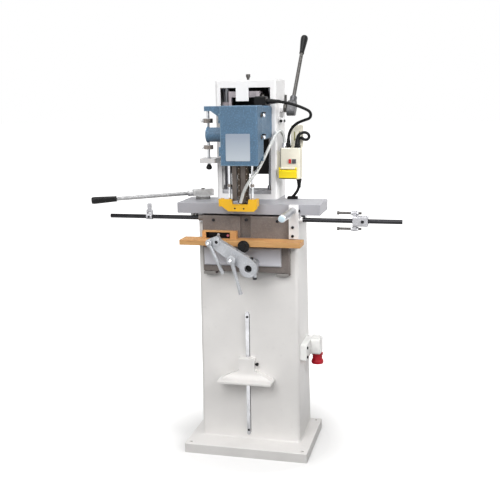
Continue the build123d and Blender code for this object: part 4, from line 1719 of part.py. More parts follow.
INNER_FAR = INNER_PLATE_NEAR + PLATE_THICK
OUTER_NEAR = INNER_FAR + PLATE_GAP
OUTER_FAR = OUTER_NEAR + PLATE_THICK
inner_planes = []
outer_planes = []
pin_planes = []
for link in range(0, len(chain_pins), 2):
    inner_planes += [link_plane(link, INNER_FAR), link_plane(link, -INNER_PLATE_NEAR)]
    outer_planes += [link_plane(link + 1, OUTER_FAR), link_plane(link + 1, -OUTER_NEAR)]
    pin_planes.append(link_plane(link + 1, OUTER_FAR - PLATE_THICK / 2))
with BuildPart() as mortise_chain:
    with BuildSketch(*inner_planes):
        with BuildLine():
            Polyline(
                (-LINK_END, -LINK_INSIDE / 2),
                (-LINK_END / 2, -LINK_INSIDE),
                (CHAIN_PITCH + LINK_END / 2, -LINK_INSIDE),
                (CHAIN_PITCH + LINK_END, -LINK_INSIDE / 2),
                (CHAIN_PITCH + LINK_END, CUTTER_HEIGHT),
                (CHAIN_PITCH - LINK_END, LINK_OUTSIDE),
                (LINK_END, LINK_OUTSIDE),
                (-LINK_END, LINK_OUTSIDE / 2),
                close=True,
            )
        make_face()
        with Locations((0, 0), (CHAIN_PITCH, 0)):
            RegularPolygon(PIN_RADIUS + PIN_GAP, PIN_SIDES, mode=Mode.SUBTRACT)
    extrude(amount=PLATE_THICK)
    with BuildSketch(*outer_planes):
        with BuildLine():
            Polyline(
                (-LINK_END, -LINK_INSIDE / 2),
                (-LINK_END / 2, -LINK_INSIDE),
                (CHAIN_PITCH + LINK_END / 2, -LINK_INSIDE),
                (CHAIN_PITCH + LINK_END, -LINK_INSIDE / 2),
                (CHAIN_PITCH + LINK_END, LINK_OUTSIDE / 2),
                (CHAIN_PITCH + LINK_END / 2, LINK_OUTSIDE),
                (CHAIN_PITCH / 2 + LINK_END / 2, LINK_OUTSIDE),
                (CHAIN_PITCH / 2, CUTTER_HEIGHT),
                (CHAIN_PITCH / 2 - LINK_END, LINK_OUTSIDE),
                (-LINK_END / 2, LINK_OUTSIDE),
                (-LINK_END, LINK_OUTSIDE / 2),
                close=True,
            )
        make_face()
    extrude(amount=PLATE_THICK)
    with BuildSketch(*pin_planes):
        with Locations((0, 0), (CHAIN_PITCH, 0)):
            RegularPolygon(PIN_RADIUS, PIN_SIDES)
    extrude(amount=2 * OUTER_FAR - PLATE_THICK)
mortise_chain.part.label = "mortise_chain"
export_step(mortise_chain.part, "parts/mortise_chain.step")

# Drive sprocket with four pin seats, its nut, and the spindle that runs into the motor
with BuildPart() as drive_sprocket:
    with BuildSketch(Plane.XZ.offset(-CHAIN_Y)):
        with Locations((HEAD_X, SPROCKET_Z)):
            Circle(SPROCKET_TIP_RADIUS)
            with PolarLocations(CHAIN_WRAP, SPROCKET_SEATS):
                Circle(PIN_RADIUS + SEAT_GAP, mode=Mode.SUBTRACT)
    extrude(amount=SPROCKET_HALF_WIDTH, both=True)
    with BuildSketch(Plane.XZ.offset(-CHAIN_Y + OUTER_FAR + SPROCKET_SIDE_GAP)):
        with Locations((HEAD_X, SPROCKET_Z)):
            Circle(SPROCKET_NECK_RADIUS)
    extrude(amount=-2 * OUTER_FAR - 2 * SPROCKET_SIDE_GAP)
    with BuildSketch(Plane.XZ.offset(-CHAIN_Y + OUTER_FAR + SPROCKET_SIDE_GAP)):
        with Locations((HEAD_X, SPROCKET_Z)):
            RegularPolygon(SPROCKET_NUT_RADIUS, 6)
    extrude(amount=SPROCKET_NUT_HEIGHT)
    with BuildSketch(Plane.XZ.offset(-CHAIN_Y - OUTER_FAR - SPROCKET_SIDE_GAP)):
        with Locations((HEAD_X, SPROCKET_Z)):
            Circle(SPINDLE_RADIUS)
    extrude(amount=-(MOTOR_FRONT + SPINDLE_SEAT - SPINDLE_END_GAP - CHAIN_Y - OUTER_FAR - SPROCKET_SIDE_GAP))
drive_sprocket.part.label = "drive_sprocket"
export_step(drive_sprocket.part, "parts/drive_sprocket.step")

# Chain cover: front, right side and top of the chain chamber, hinged at its left edge
COVER_BACK = HEAD_PARTING - COVER_GAP
with BuildPart() as chain_cover:
    with BuildSketch(Plane.YZ.offset(HEAD_LEFT)):
        with BuildLine():
            Polyline(
                (COVER_FRONT, COVER_BOTTOM_FRONT),
                (COVER_FRONT, COVER_TOP),
                (COVER_BACK, COVER_TOP),
                (COVER_BACK, COVER_BOTTOM_BACK),
                close=True,
            )
        make_face()
    extrude(amount=HEAD_RIGHT - HEAD_LEFT)
    right_face = chain_cover.faces().sort_by(Axis.X)[-1]
    fillet(right_face.edges().filter_by(Axis.Z).group_by(Axis.Y)[0], COVER_FILLET)
    fillet(chain_cover.faces().sort_by(Axis.Z)[-1].edges().group_by(Axis.Y)[0], COVER_FILLET / 2)
    with BuildSketch(Plane.YZ.offset(HEAD_LEFT)):
        with BuildLine():
            Polyline(
                (COVER_FRONT + COVER_WALL, COVER_BOTTOM_FRONT - COVER_FILLET),
                (COVER_FRONT + COVER_WALL, COVER_TOP - COVER_WALL),
                (COVER_BACK, COVER_TOP - COVER_WALL),
                (COVER_BACK, COVER_BOTTOM_FRONT - COVER_FILLET),
                close=True,
            )
        make_face()
    extrude(amount=HEAD_RIGHT - HEAD_LEFT - COVER_WALL, mode=Mode.SUBTRACT)
    for barrel_z in (HINGE_LOW_Z, HINGE_HIGH_Z):
        with BuildSketch(Plane.XY.offset(barrel_z)):
            with Locations((HINGE_X, HINGE_Y)):
                Circle(HINGE_RADIUS)
            with Locations(((HINGE_X + HEAD_LEFT + HINGE_ROOT) / 2, COVER_FRONT + COVER_WALL / 2)):
                Rectangle(HEAD_LEFT + HINGE_ROOT - HINGE_X, COVER_WALL)
            with Locations((HINGE_X, HINGE_Y)):
                Circle(HINGE_PIN_RADIUS + FIT_GAP, mode=Mode.SUBTRACT)
        extrude(amount=HINGE_LENGTH)
chain_cover.part.label = "chain_cover"
export_step(chain_cover.part, "parts/chain_cover.step")

with BuildPart() as nameplate:
    with BuildSketch(Plane.XZ.offset(-COVER_FRONT)):
        with Locations((NAME_LEFT + NAME_WIDTH / 2, NAME_BOTTOM + NAME_HEIGHT / 2)):
            RectangleRounded(NAME_WIDTH, NAME_HEIGHT, NAME_RADIUS)
    extrude(amount=NAME_THICKNESS)
nameplate.part.label = "nameplate"
export_step(nameplate.part, "parts/nameplate.step")

# Two chrome knobs that hold the cover shut
with BuildPart() as cover_knobs:
    with BuildSketch(Plane.YZ.offset(HEAD_RIGHT)):
        with Locations((COVER_KNOB_Y, COVER_KNOB_LOW_Z), (COVER_KNOB_Y, COVER_KNOB_HIGH_Z)):
            Circle(COVER_KNOB_STEM)
    extrude(amount=COVER_KNOB_REACH)
    with BuildSketch(Plane.YZ.offset(HEAD_RIGHT + COVER_KNOB_REACH / 2)):
        with Locations((COVER_KNOB_Y, COVER_KNOB_LOW_Z), (COVER_KNOB_Y, COVER_KNOB_HIGH_Z)):
            Circle(COVER_KNOB_RADIUS)
    extrude(amount=COVER_KNOB_REACH / 2)
    chamfer(cover_knobs.faces().filter_by(Plane.YZ).group_by(Axis.X)[-1].edges(), COVER_KNOB_CHAMFER)
cover_knobs.part.label = "cover_knobs"
export_step(cover_knobs.part, "parts/cover_knobs.step")

# Yellow guard: a notched front plate with an arm on each side, hung from two rods
GUARD_LEFT_CUT, GUARD_LEFT_RISE = GUARD_LEFT_CORNER
GUARD_RIGHT_CUT, GUARD_RIGHT_RISE = GUARD_RIGHT_CORNER
with BuildPart() as guard:
    with BuildSketch(Plane.XZ.offset(-GUARD_FRONT - GUARD_FRONT_THICKNESS)):
        with BuildLine():
            Polyline(
                (GUARD_LEFT, GUARD_TOP),
                (GUARD_MOUTH_LEFT, GUARD_TOP),
                (GUARD_MOUTH_LEFT + GUARD_MOUTH_SLANT, GUARD_MOUTH_Z),
                (GUARD_MOUTH_RIGHT - GUARD_MOUTH_SLANT, GUARD_MOUTH_Z),
                (GUARD_MOUTH_RIGHT, GUARD_TOP),
                (GUARD_RIGHT, GUARD_TOP),
                (GUARD_RIGHT, GUARD_BOTTOM + GUARD_RIGHT_RISE),
                (GUARD_RIGHT - GUARD_RIGHT_CUT, GUARD_BOTTOM),
                (GUARD_LEFT + GUARD_LEFT_CUT, GUARD_BOTTOM),
                (GUARD_LEFT, GUARD_BOTTOM + GUARD_LEFT_RISE),
                close=True,
            )
        make_face()
        with Locations((GUARD_HOLE_LEFT_X, GUARD_HOLE_Z), (GUARD_HOLE_RIGHT_X, GUARD_HOLE_Z)):
            RegularPolygon(GUARD_HOLE_RADIUS, SCREW_HEAD_SIDES, mode=Mode.SUBTRACT)
    extrude(amount=GUARD_FRONT_THICKNESS)
    with BuildSketch(Plane.XY.offset(GUARD_ARM_BOTTOM)):
        for arm_x in (GUARD_LEFT + GUARD_ARM_WIDTH / 2, GUARD_RIGHT - GUARD_ARM_WIDTH / 2):
            with Locations((arm_x, (GUARD_FRONT + GUARD_ARM_ROOT + GUARD_BACK) / 2)):
                Rectangle(GUARD_ARM_WIDTH, GUARD_BACK - GUARD_FRONT - GUARD_ARM_ROOT)
    extrude(amount=GUARD_TOP - GUARD_ARM_BOTTOM)
    with BuildSketch(Plane.XY.offset(GUARD_SHELF_BOTTOM)):
        with Locations(
            (
                (GUARD_LEFT + GUARD_ROD_LEFT_X + GUARD_SHELF_RIM) / 2,
                (GUARD_SHELF_FRONT + GUARD_BACK) / 2,
            )
        ):
            Rectangle(GUARD_ROD_LEFT_X + GUARD_SHELF_RIM - GUARD_LEFT, GUARD_BACK - GUARD_SHELF_FRONT)
        with Locations(
            (
                (GUARD_RIGHT + GUARD_ROD_RIGHT_X - GUARD_SHELF_RIM) / 2,
                (GUARD_SHELF_FRONT + GUARD_BACK) / 2,
            )
        ):
            Rectangle(GUARD_RIGHT - GUARD_ROD_RIGHT_X + GUARD_SHELF_RIM, GUARD_BACK - GUARD_SHELF_FRONT)
    extrude(amount=GUARD_SHELF_THICKNESS)
guard.part.label = "guard"
export_step(guard.part, "parts/guard.step")

with BuildPart() as guard_rods:
    with BuildSketch(Plane.XY.offset(GUARD_SHELF_BOTTOM + GUARD_SHELF_THICKNESS)):
        with Locations((GUARD_ROD_LEFT_X, CHAIN_Y), (GUARD_ROD_RIGHT_X, CHAIN_Y)):
            Circle(GUARD_ROD_RADIUS)
    extrude(amount=GUARD_ROD_TOP - GUARD_SHELF_BOTTOM - GUARD_SHELF_THICKNESS)
    with BuildSketch(Plane.XY.offset(GUARD_LUG_TOP)):
        with Locations((GUARD_ROD_LEFT_X, CHAIN_Y), (GUARD_ROD_RIGHT_X, CHAIN_Y)):
            Circle(GUARD_COLLAR_RADIUS)
    extrude(amount=GUARD_COLLAR_HEIGHT)
guard_rods.part.label = "guard_rods"
export_step(guard_rods.part, "parts/guard_rods.step")

# Feed lever: hub, socket and rod
FEED_PLANE = Plane(
    origin=(FEED_LEVER_X, FEED_Y, FEED_Z),
    z_dir=(0, math.cos(math.radians(FEED_LEAN)), math.sin(math.radians(FEED_LEAN))),
)
with BuildPart() as feed_lever:
    with BuildSketch(Plane.YZ.offset(FEED_HUB_LEFT)):
        with Locations(Location((FEED_Y, FEED_Z), FEED_LEAN)):
            SlotOverall(FEED_HUB_SPAN, FEED_HUB_WIDTH)
    extrude(amount=FEED_HUB_LENGTH)
    chamfer(feed_lever.faces().filter_by(Plane.YZ).edges(), FEED_HUB_CHAMFER)
    with BuildSketch(FEED_PLANE):
        Circle(FEED_SOCKET_RADIUS)
    extrude(amount=FEED_SOCKET_END)
    with BuildSketch(FEED_PLANE):
        Circle(FEED_ROD_RADIUS)
    extrude(amount=FEED_GRIP_START)
    with BuildSketch(Plane.YZ.offset(FEED_HUB_LEFT)):
        with Locations((FEED_Y, FEED_Z)):
            Circle(FEED_SHAFT_RADIUS + FIT_GAP)
    extrude(amount=FEED_SHAFT_SEAT, mode=Mode.SUBTRACT)
feed_lever.part.label = "feed_lever"
export_step(feed_lever.part, "parts/feed_lever.step")

FEED_GRIP_CONE = FEED_GRIP_LENGTH - FEED_GRIP_CROWN
with BuildPart(FEED_PLANE.offset(FEED_GRIP_START)) as feed_grip:
    Cone(
        FEED_GRIP_ROOT_RADIUS,
        FEED_GRIP_TIP_RADIUS,
        FEED_GRIP_CONE,
        align=(Align.CENTER, Align.CENTER, Align.MIN),
    )
    with Locations((0, 0, FEED_GRIP_CONE)):
        Cone(
            FEED_GRIP_TIP_RADIUS,
            FEED_GRIP_CAP_RADIUS,
            FEED_GRIP_CROWN,
            align=(Align.CENTER, Align.CENTER, Align.MIN),
        )
feed_grip.part.label = "feed_grip"
export_step(feed_grip.part, "parts/feed_grip.step")

# Feed shaft with the dark clamp collar, the rocker and the roller that drives the crosshead's yoke
ROLLER_Y = FEED_Y - math.sqrt(ROCKER_RADIUS ** 2 - (ROLLER_Z - FEED_Z) ** 2)
with BuildPart() as feed_shaft:
    with BuildSketch(Plane.YZ.offset(ROCKER_LEFT)):
        with Locations((FEED_Y, FEED_Z)):
            Circle(FEED_SHAFT_RADIUS)
    extrude(amount=FEED_HUB_LEFT + FEED_SHAFT_SEAT - ROCKER_LEFT)
    with BuildSketch(Plane.YZ.offset(FEED_BOSS_END + CLAMP_COLLAR_GAP)):
        with Locations((FEED_Y, FEED_Z)):
            Circle(CLAMP_COLLAR_RADIUS)
    extrude(amount=CLAMP_COLLAR_WIDTH)
    with BuildSketch(Plane.XY.offset(FEED_Z)):
        with Locations((FEED_BOSS_END + CLAMP_COLLAR_GAP + CLAMP_COLLAR_WIDTH / 2, FEED_Y)):
            Circle(CLAMP_PIN_RADIUS)
    extrude(amount=CLAMP_PIN_REACH)
    with BuildSketch(Plane.YZ.offset(ROCKER_LEFT)):
        with Locations(
            Location(
                ((FEED_Y + ROLLER_Y) / 2, (FEED_Z + ROLLER_Z) / 2),
                math.degrees(math.atan2(ROLLER_Z - FEED_Z, ROLLER_Y - FEED_Y)),
            )
        ):
            SlotOverall(ROCKER_RADIUS + 2 * ROCKER_END_RADIUS, 2 * ROCKER_END_RADIUS)
    extrude(amount=ROCKER_THICKNESS)
    with BuildSketch(Plane.YZ.offset(ROLLER_LEFT)):
        with Locations((ROLLER_Y, ROLLER_Z)):
            Circle(ROLLER_RADIUS)
    extrude(amount=ROCKER_LEFT - ROLLER_LEFT)
feed_shaft.part.label = "feed_shaft"
export_step(feed_shaft.part, "parts/feed_shaft.step")

# Clamp arm: a boss on the arm post, a straight arm and a block at its upper end
with BuildPart() as clamp_arm:
    with BuildSketch(Plane.XZ.offset(-CLAMP_ARM_BACK)):
        with BuildLine():
            Polyline(*[(ARM_BORE_X + x, ARM_BORE_Z + z) for x, z in CLAMP_OUTLINE], close=True)
        make_face()
        with Locations((ARM_BORE_X, ARM_BORE_Z)):
            Circle(CLAMP_BOSS_RADIUS)
        with Locations((ARM_BORE_X, ARM_BORE_Z)):
            Circle(ARM_POST_RADIUS + FIT_GAP, mode=Mode.SUBTRACT)
        with Locations((CLAMP_HUB_X, CLAMP_HUB_Z), (SIDE_HUB_X, SIDE_HUB_Z)):
            Circle(PIVOT_PIN_RADIUS + FIT_GAP, mode=Mode.SUBTRACT)
    extrude(amount=CLAMP_ARM_THICKNESS)
    with BuildSketch(Plane.XY.offset(ARM_BORE_Z)):
        with Locations((ARM_BORE_X + PINCH_OFFSET, (CLAMP_ARM_BACK + CLAMP_ARM_FRONT) / 2)):
            RegularPolygon(PINCH_RADIUS, SCREW_HEAD_SIDES)
    extrude(amount=-CLAMP_BOSS_RADIUS - PINCH_PROUD)
clamp_arm.part.label = "clamp_arm"
export_step(clamp_arm.part, "parts/clamp_arm.step")

# Black pressure pad on its stem plate behind the arm
with BuildPart() as clamp_pad:
    with BuildSketch(Plane.XZ.offset(-CLAMP_ARM_BACK)):
        with Locations((PAD_X, PAD_Z - PAD_STEM_DROP / 2)):
            Rectangle(PAD_STEM_WIDTH, PAD_STEM_DROP)
        with Locations((PAD_X, PAD_Z)):
            Circle(PAD_FRONT_RADIUS)
    extrude(amount=CLAMP_ARM_BACK - PAD_FRONT)
    with BuildSketch(Plane.XZ.offset(-PAD_FRONT)):
        with Locations((PAD_X, PAD_Z)):
            Circle(PAD_FRONT_RADIUS)
    with BuildSketch(Plane.XZ.offset(-PAD_BACK)):
        with Locations((PAD_X, PAD_Z)):
            Circle(PAD_BACK_RADIUS)
    loft(ruled=True)
clamp_pad.part.label = "clamp_pad"
export_step(clamp_pad.part, "parts/clamp_pad.step")

# Clamp lever and side lever, each on its own pivot pin in the arm
HANDLE_Y = CLAMP_ARM_FRONT - CLAMP_HANDLE_SETBACK
clamp_handle_start = (CLAMP_HUB_X, HANDLE_Y, CLAMP_HUB_Z)
clamp_handle_end = (CLAMP_HANDLE_END_X, HANDLE_Y, CLAMP_HANDLE_END_Z)
clamp_handle = rod_plane(clamp_handle_start, clamp_handle_end)
clamp_handle_length = rod_length(clamp_handle_start, clamp_handle_end)
clamp_handle_waist = CLAMP_HANDLE_WAIST * clamp_handle_length
with BuildPart() as clamp_lever:
    with BuildSketch(Plane.XZ.offset(-CLAMP_ARM_FRONT)):
        with Locations((CLAMP_HUB_X, CLAMP_HUB_Z)):
            Circle(CLAMP_HUB_RADIUS)
    extrude(amount=CLAMP_HUB_LENGTH)
    chamfer(clamp_lever.faces().sort_by(Axis.Y)[0].edges(), CLAMP_HUB_CHAMFER)
    with Locations(clamp_handle):
        Cone(
            CLAMP_HANDLE_ROOT_RADIUS,
            CLAMP_HANDLE_WAIST_RADIUS,
            clamp_handle_waist,
            align=(Align.CENTER, Align.CENTER, Align.MIN),
        )
    with Locations(clamp_handle.offset(clamp_handle_waist)):
        Cone(
            CLAMP_HANDLE_WAIST_RADIUS,
            CLAMP_HANDLE_TIP_RADIUS,
            clamp_handle_length - clamp_handle_waist,
            align=(Align.CENTER, Align.CENTER, Align.MIN),
        )
    with BuildSketch(Plane.XZ.offset(-CLAMP_ARM_FRONT)):
        with Locations((CLAMP_HUB_X, CLAMP_HUB_Z)):
            Circle(PIVOT_PIN_RADIUS)
    extrude(amount=-CLAMP_ARM_THICKNESS)
clamp_lever.part.label = "clamp_lever"
export_step(clamp_lever.part, "parts/clamp_lever.step")

SIDE_HANDLE_Y = CLAMP_ARM_FRONT - SIDE_HUB_LENGTH / 2
side_handle_start = (SIDE_HUB_X, SIDE_HANDLE_Y, SIDE_HUB_Z)
side_handle_end = (SIDE_HANDLE_END_X, SIDE_HANDLE_Y, SIDE_HANDLE_END_Z)
with BuildPart() as side_lever:
    with BuildSketch(Plane.XZ.offset(-CLAMP_ARM_FRONT)):
        with Locations((SIDE_HUB_X, SIDE_HUB_Z)):
            Circle(SIDE_HUB_RADIUS)
    extrude(amount=SIDE_HUB_LENGTH)
    chamfer(side_lever.faces().sort_by(Axis.Y)[0].edges(), SIDE_HUB_CHAMFER)
    with Locations(rod_plane(side_handle_start, side_handle_end)):
        Cone(
            SIDE_HANDLE_ROOT_RADIUS,
            SIDE_HANDLE_TIP_RADIUS,
            rod_length(side_handle_start, side_handle_end),
            align=(Align.CENTER, Align.CENTER, Align.MIN),
        )
    with BuildSketch(Plane.XZ.offset(-CLAMP_ARM_FRONT)):
        with Locations((SIDE_HUB_X, SIDE_HUB_Z)):
            Circle(PIVOT_PIN_RADIUS)
    extrude(amount=-CLAMP_ARM_THICKNESS)
side_lever.part.label = "side_lever"
export_step(side_lever.part, "parts/side_lever.step")

# Left stop: a collar on the rod with two ears, and the finger that flips between them
FINGER_PIVOT_Z = ROD_Z + STOP_COLLAR_RADIUS + FINGER_PIVOT_RISE
with BuildPart() as left_stop:
    with BuildSketch(Plane.YZ.offset(LEFT_STOP_X - LEFT_STOP_LENGTH / 2)):
        with Locations((ROD_Y, ROD_Z)):
            Circle(STOP_COLLAR_RADIUS)
        with Locations((ROD_Y, (ROD_Z + FINGER_PIVOT_Z) / 2)):
            Rectangle(2 * FINGER_HALF_DEPTH, FINGER_PIVOT_Z - ROD_Z)
        with Locations((ROD_Y, FINGER_PIVOT_Z)):
            Circle(FINGER_HALF_DEPTH)
    extrude(amount=LEFT_STOP_LENGTH)
    with BuildSketch(Plane.YZ.offset(LEFT_STOP_X - FINGER_WIDTH / 2 - FINGER_GAP)):
        with Locations((ROD_Y, FINGER_PIVOT_Z + STOP_COLLAR_RADIUS)):
            Rectangle(2 * STOP_COLLAR_RADIUS, 2 * (FINGER_PIVOT_RISE + STOP_COLLAR_RADIUS))
    extrude(amount=FINGER_WIDTH + 2 * FINGER_GAP, mode=Mode.SUBTRACT)
    with BuildSketch(Plane.YZ.offset(LEFT_STOP_X - LEFT_STOP_LENGTH / 2)):
        with Locations((ROD_Y, ROD_Z)):
            Circle(ROD_RADIUS + FIT_GAP)
        with Locations((ROD_Y, FINGER_PIVOT_Z)):
            Circle(FINGER_PIN_RADIUS + FIT_GAP)
    extrude(amount=LEFT_STOP_LENGTH, mode=Mode.SUBTRACT)
left_stop.part.label = "left_stop"
export_step(left_stop.part, "parts/left_stop.step")

with BuildPart() as left_finger:
    with BuildSketch(Plane.YZ.offset(LEFT_STOP_X - FINGER_WIDTH / 2)):
        with Locations((ROD_Y, FINGER_PIVOT_Z)):
            Circle(FINGER_HALF_DEPTH)
    extrude(amount=FINGER_WIDTH)
    with BuildSketch(Plane.XZ.offset(-ROD_Y)):
        with BuildLine():
            Polyline(
                (LEFT_STOP_X - FINGER_WIDTH / 2, FINGER_PIVOT_Z),
                (LEFT_STOP_X + FINGER_WIDTH / 2, FINGER_PIVOT_Z),
                (LEFT_STOP_X + FINGER_TIP_WIDTH / 2, FINGER_TOP),
                (LEFT_STOP_X - FINGER_TIP_WIDTH / 2, FINGER_TOP),
                close=True,
            )
        make_face()
    extrude(amount=FINGER_HALF_DEPTH, both=True)
    with BuildSketch(Plane.YZ.offset(LEFT_STOP_X - LEFT_STOP_LENGTH / 2)):
        with Locations((ROD_Y, FINGER_PIVOT_Z)):
            Circle(FINGER_PIN_RADIUS)
    extrude(amount=LEFT_STOP_LENGTH)
left_finger.part.label = "left_finger"
export_step(left_finger.part, "parts/left_finger.step")

# Right stop: a block with a cross plate on the rod, and its two adjusting screws
with BuildPart() as right_stop:
    with BuildSketch(Plane.YZ.offset(RIGHT_STOP_LEFT)):
        with Locations((ROD_Y, ROD_Z)):
            RectangleRounded(2 * RIGHT_STOP_HALF, 2 * RIGHT_STOP_HALF, RIGHT_STOP_RADIUS)
    extrude(amount=RIGHT_STOP_LENGTH)
    with BuildSketch(Plane.YZ.offset(RIGHT_STOP_LEFT)):
        with Locations((ROD_Y, ROD_Z)):
            RectangleRounded(
                2 * ADJUSTER_HEAD_RADIUS + 2 * ADJUSTER_PLATE_RIM,
                2 * ADJUSTER_RISE + 2 * ADJUSTER_HEAD_RADIUS,
                RIGHT_STOP_RADIUS,
            )
    extrude(amount=RIGHT_PLATE_THICKNESS)
    with BuildSketch(Plane.YZ.offset(RIGHT_STOP_LEFT)):
        with Locations((ROD_Y, ROD_Z)):
            Circle(ROD_RADIUS + FIT_GAP)
        with Locations((ROD_Y, ROD_Z - ADJUSTER_RISE), (ROD_Y, ROD_Z + ADJUSTER_RISE)):
            Circle(ADJUSTER_RADIUS + FIT_GAP)
    extrude(amount=RIGHT_STOP_LENGTH, mode=Mode.SUBTRACT)
right_stop.part.label = "right_stop"
export_step(right_stop.part, "parts/right_stop.step")

with BuildPart() as stop_screws:
    with BuildSketch(Plane.YZ.offset(ADJUSTER_LEFT)):
        with Locations((ROD_Y, ROD_Z - ADJUSTER_RISE), (ROD_Y, ROD_Z + ADJUSTER_RISE)):
            Circle(ADJUSTER_RADIUS)
    extrude(amount=ADJUSTER_RIGHT - ADJUSTER_LEFT)
    with BuildSketch(Plane.YZ.offset(ADJUSTER_LEFT)):
        with Locations((ROD_Y, ROD_Z - ADJUSTER_RISE), (ROD_Y, ROD_Z + ADJUSTER_RISE)):
            RegularPolygon(ADJUSTER_HEAD_RADIUS, 6)
    extrude(amount=ADJUSTER_HEAD_HEIGHT)
stop_screws.part.label = "stop_screws"
export_step(stop_screws.part, "parts/stop_screws.step")
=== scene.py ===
import json
import math

import bmesh
import bpy
from mathutils import Matrix, Vector


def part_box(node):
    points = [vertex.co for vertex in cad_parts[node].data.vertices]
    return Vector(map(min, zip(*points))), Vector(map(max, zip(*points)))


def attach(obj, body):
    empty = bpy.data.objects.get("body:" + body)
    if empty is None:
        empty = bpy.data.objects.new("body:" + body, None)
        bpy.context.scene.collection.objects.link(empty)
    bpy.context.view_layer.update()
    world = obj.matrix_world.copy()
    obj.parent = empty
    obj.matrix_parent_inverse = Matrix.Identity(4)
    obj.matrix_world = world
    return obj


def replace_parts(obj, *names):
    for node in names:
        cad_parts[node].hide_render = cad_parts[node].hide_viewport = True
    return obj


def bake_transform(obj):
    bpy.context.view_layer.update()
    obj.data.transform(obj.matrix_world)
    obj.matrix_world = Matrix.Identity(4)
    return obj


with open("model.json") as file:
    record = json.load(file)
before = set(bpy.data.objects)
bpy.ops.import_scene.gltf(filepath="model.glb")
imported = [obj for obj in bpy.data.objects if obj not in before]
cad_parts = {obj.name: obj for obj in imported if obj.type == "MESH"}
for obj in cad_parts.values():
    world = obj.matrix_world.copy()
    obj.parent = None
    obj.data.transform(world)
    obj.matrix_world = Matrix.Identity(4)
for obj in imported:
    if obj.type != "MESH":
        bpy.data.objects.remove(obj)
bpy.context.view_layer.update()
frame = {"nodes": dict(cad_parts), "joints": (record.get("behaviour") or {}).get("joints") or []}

SCENE = bpy.context.scene
MM = 0.001

# Camera: where it stands, where it looks and its lens
CAMERA_PLACE = Vector((0.8366, -3.3678, 1.5279))
CAMERA_YAW = math.radians(14.16)
CAMERA_PITCH = math.radians(-10.76)
CAMERA_ROLL = math.radians(0.86)
CAMERA_LENS = 58.95
CAMERA_REACH = 200
SENSOR_WIDTH = 36.0

# Lamps: name, place and size in metres, watts, where it points and its spread in degrees
LOOK_AT = Vector((0.0, 0.0, 0.95))
FILL_AT = Vector((0.1, 0.0, 1.3))
LAMPS = [
    ("key", Vector((-0.5, -6.0, 4.6)), 4.0, 262, LOOK_AT, 180),
    ("fill", Vector((2.3, -1.2, 2.5)), 1.2, 5.6, FILL_AT, 44),
    ("top", Vector((0.1, -0.8, 7.0)), 4.0, 190, LOOK_AT, 180),
]

# Light from all sides, and the floor
AMBIENT = 0.36
AMBIENT_TINT = (1.0, 0.985, 0.97, 1.0)
WHITE = (1.0, 1.0, 1.0, 1.0)
FLOOR_HALF = 40.0
FLOOR_LIFT = 0.13
FLOOR_LIFT_FAR = 0.95
SHADOW_REACH = (0.33, 0.85)
FLOOR_GREY = 0.85
FLOOR_BOUNCE = 0.16

# Colours that finishes share or mix, as screen values from 0 to 255
BEECH_LIGHT = (208, 160, 104)
BEECH_DARK = (190, 132, 80)
PLATE_PALE = (172, 180, 188)
PLATE_BLUE = (140, 150, 164)
STEEL = (190, 191, 194)
DARK_STEEL = (84, 82, 80)
HOSE_TINT = (222, 224, 222)

# How strongly black plastic and rubber reflect
BLACK_SHINE = 0.16

# Radii of painted edge highlights and rounded edges, in metres
PAINT_EDGE = 0.0015
PLASTIC_EDGE = 0.001

# Tool marks are drawn out along one axis
ALONG_X = (0.05, 1, 1)
ALONG_Z = (1, 1, 0.05)

FRONT = (0, -1, 0)
BACK = (0, 1, 0)
LEFT = (-1, 0, 0)
RIGHT = (1, 0, 0)
UP = (0, 0, 1)
DOWN = (0, 0, -1)


# Places in the frame, in millimetres
def corners(name):
    """A node's lowest and highest corners."""
    low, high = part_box(name)
    return low / MM, high / MM


def middle(name):
    """The middle of a node's box."""
    low, high = corners(name)
    return (low + high) / 2


def pivot(name):
    """The place of a joint's axis."""
    joint = next(joint for joint in frame["joints"] if joint["name"] == name)
    return Vector(joint["pos_m"]) / MM


FEED_PIVOT = pivot("feed_pivot")
TRAVERSE_HEAD = pivot("traverse_pivot") + Vector((0, 0, 14))


# Colours
def linear(screen):
    """A screen colour from 0 to 255 as the linear colour that a shader takes."""
    values = []
    for level in screen:
        share = level / 255
        values.append(share / 12.92 if share <= 0.04045 else ((share + 0.055) / 1.055) ** 2.4)
    return (*values, 1.0)


def shade(screen, factor):
    """A screen colour made lighter or darker."""
    return tuple(min(255, level * factor) for level in screen)


def two_tones(colour, dark, light, low=0.3, high=0.7):
    """The stops of a ramp from a darker to a lighter tone of a colour."""
    return [(low, linear(shade(colour, dark))), (high, linear(shade(colour, light)))]


# Material nodes
FINISH = {}


def new_material(name, metallic=0.0, specular=0.5):
    """Starts a finish under a name, and gives its node tree."""
    material = bpy.data.materials.new(name)
    material.use_nodes = True
    FINISH[name] = material
    tree = material.node_tree
    set_shader(tree, "Metallic", metallic)
    set_shader(tree, "Specular IOR Level", specular)
    return tree


def put(tree, socket, value):
    """Links an output to an input, or sets the input to a value."""
    if isinstance(value, bpy.types.NodeSocket):
        tree.links.new(value, socket)
    else:
        socket.default_value = value


def set_shader(tree, name, value):
    """Links or sets an input of a finish's shader."""
    put(tree, tree.nodes["Principled BSDF"].inputs[name], value)


def add_node(tree, kind, inputs, **settings):
    """Adds a node with its settings and inputs, and gives its outputs."""
    node = tree.nodes.new("ShaderNode" + kind)
    for name, value in settings.items():
        setattr(node, name, value)
    for key, value in inputs.items():
        put(tree, node.inputs[key], value)
    return node.outputs


def coordinates(tree):
    """Object coordinates, in metres."""
    return add_node(tree, "TexCoord", {})["Object"]


def noise(tree, scale, detail=2.0, stretch=(1, 1, 1)):
    place = add_node(tree, "Mapping", {"Vector": coordinates(tree), "Scale": stretch})["Vector"]
    return add_node(tree, "TexNoise", {"Vector": place, "Scale": scale, "Detail": detail})["Fac"]


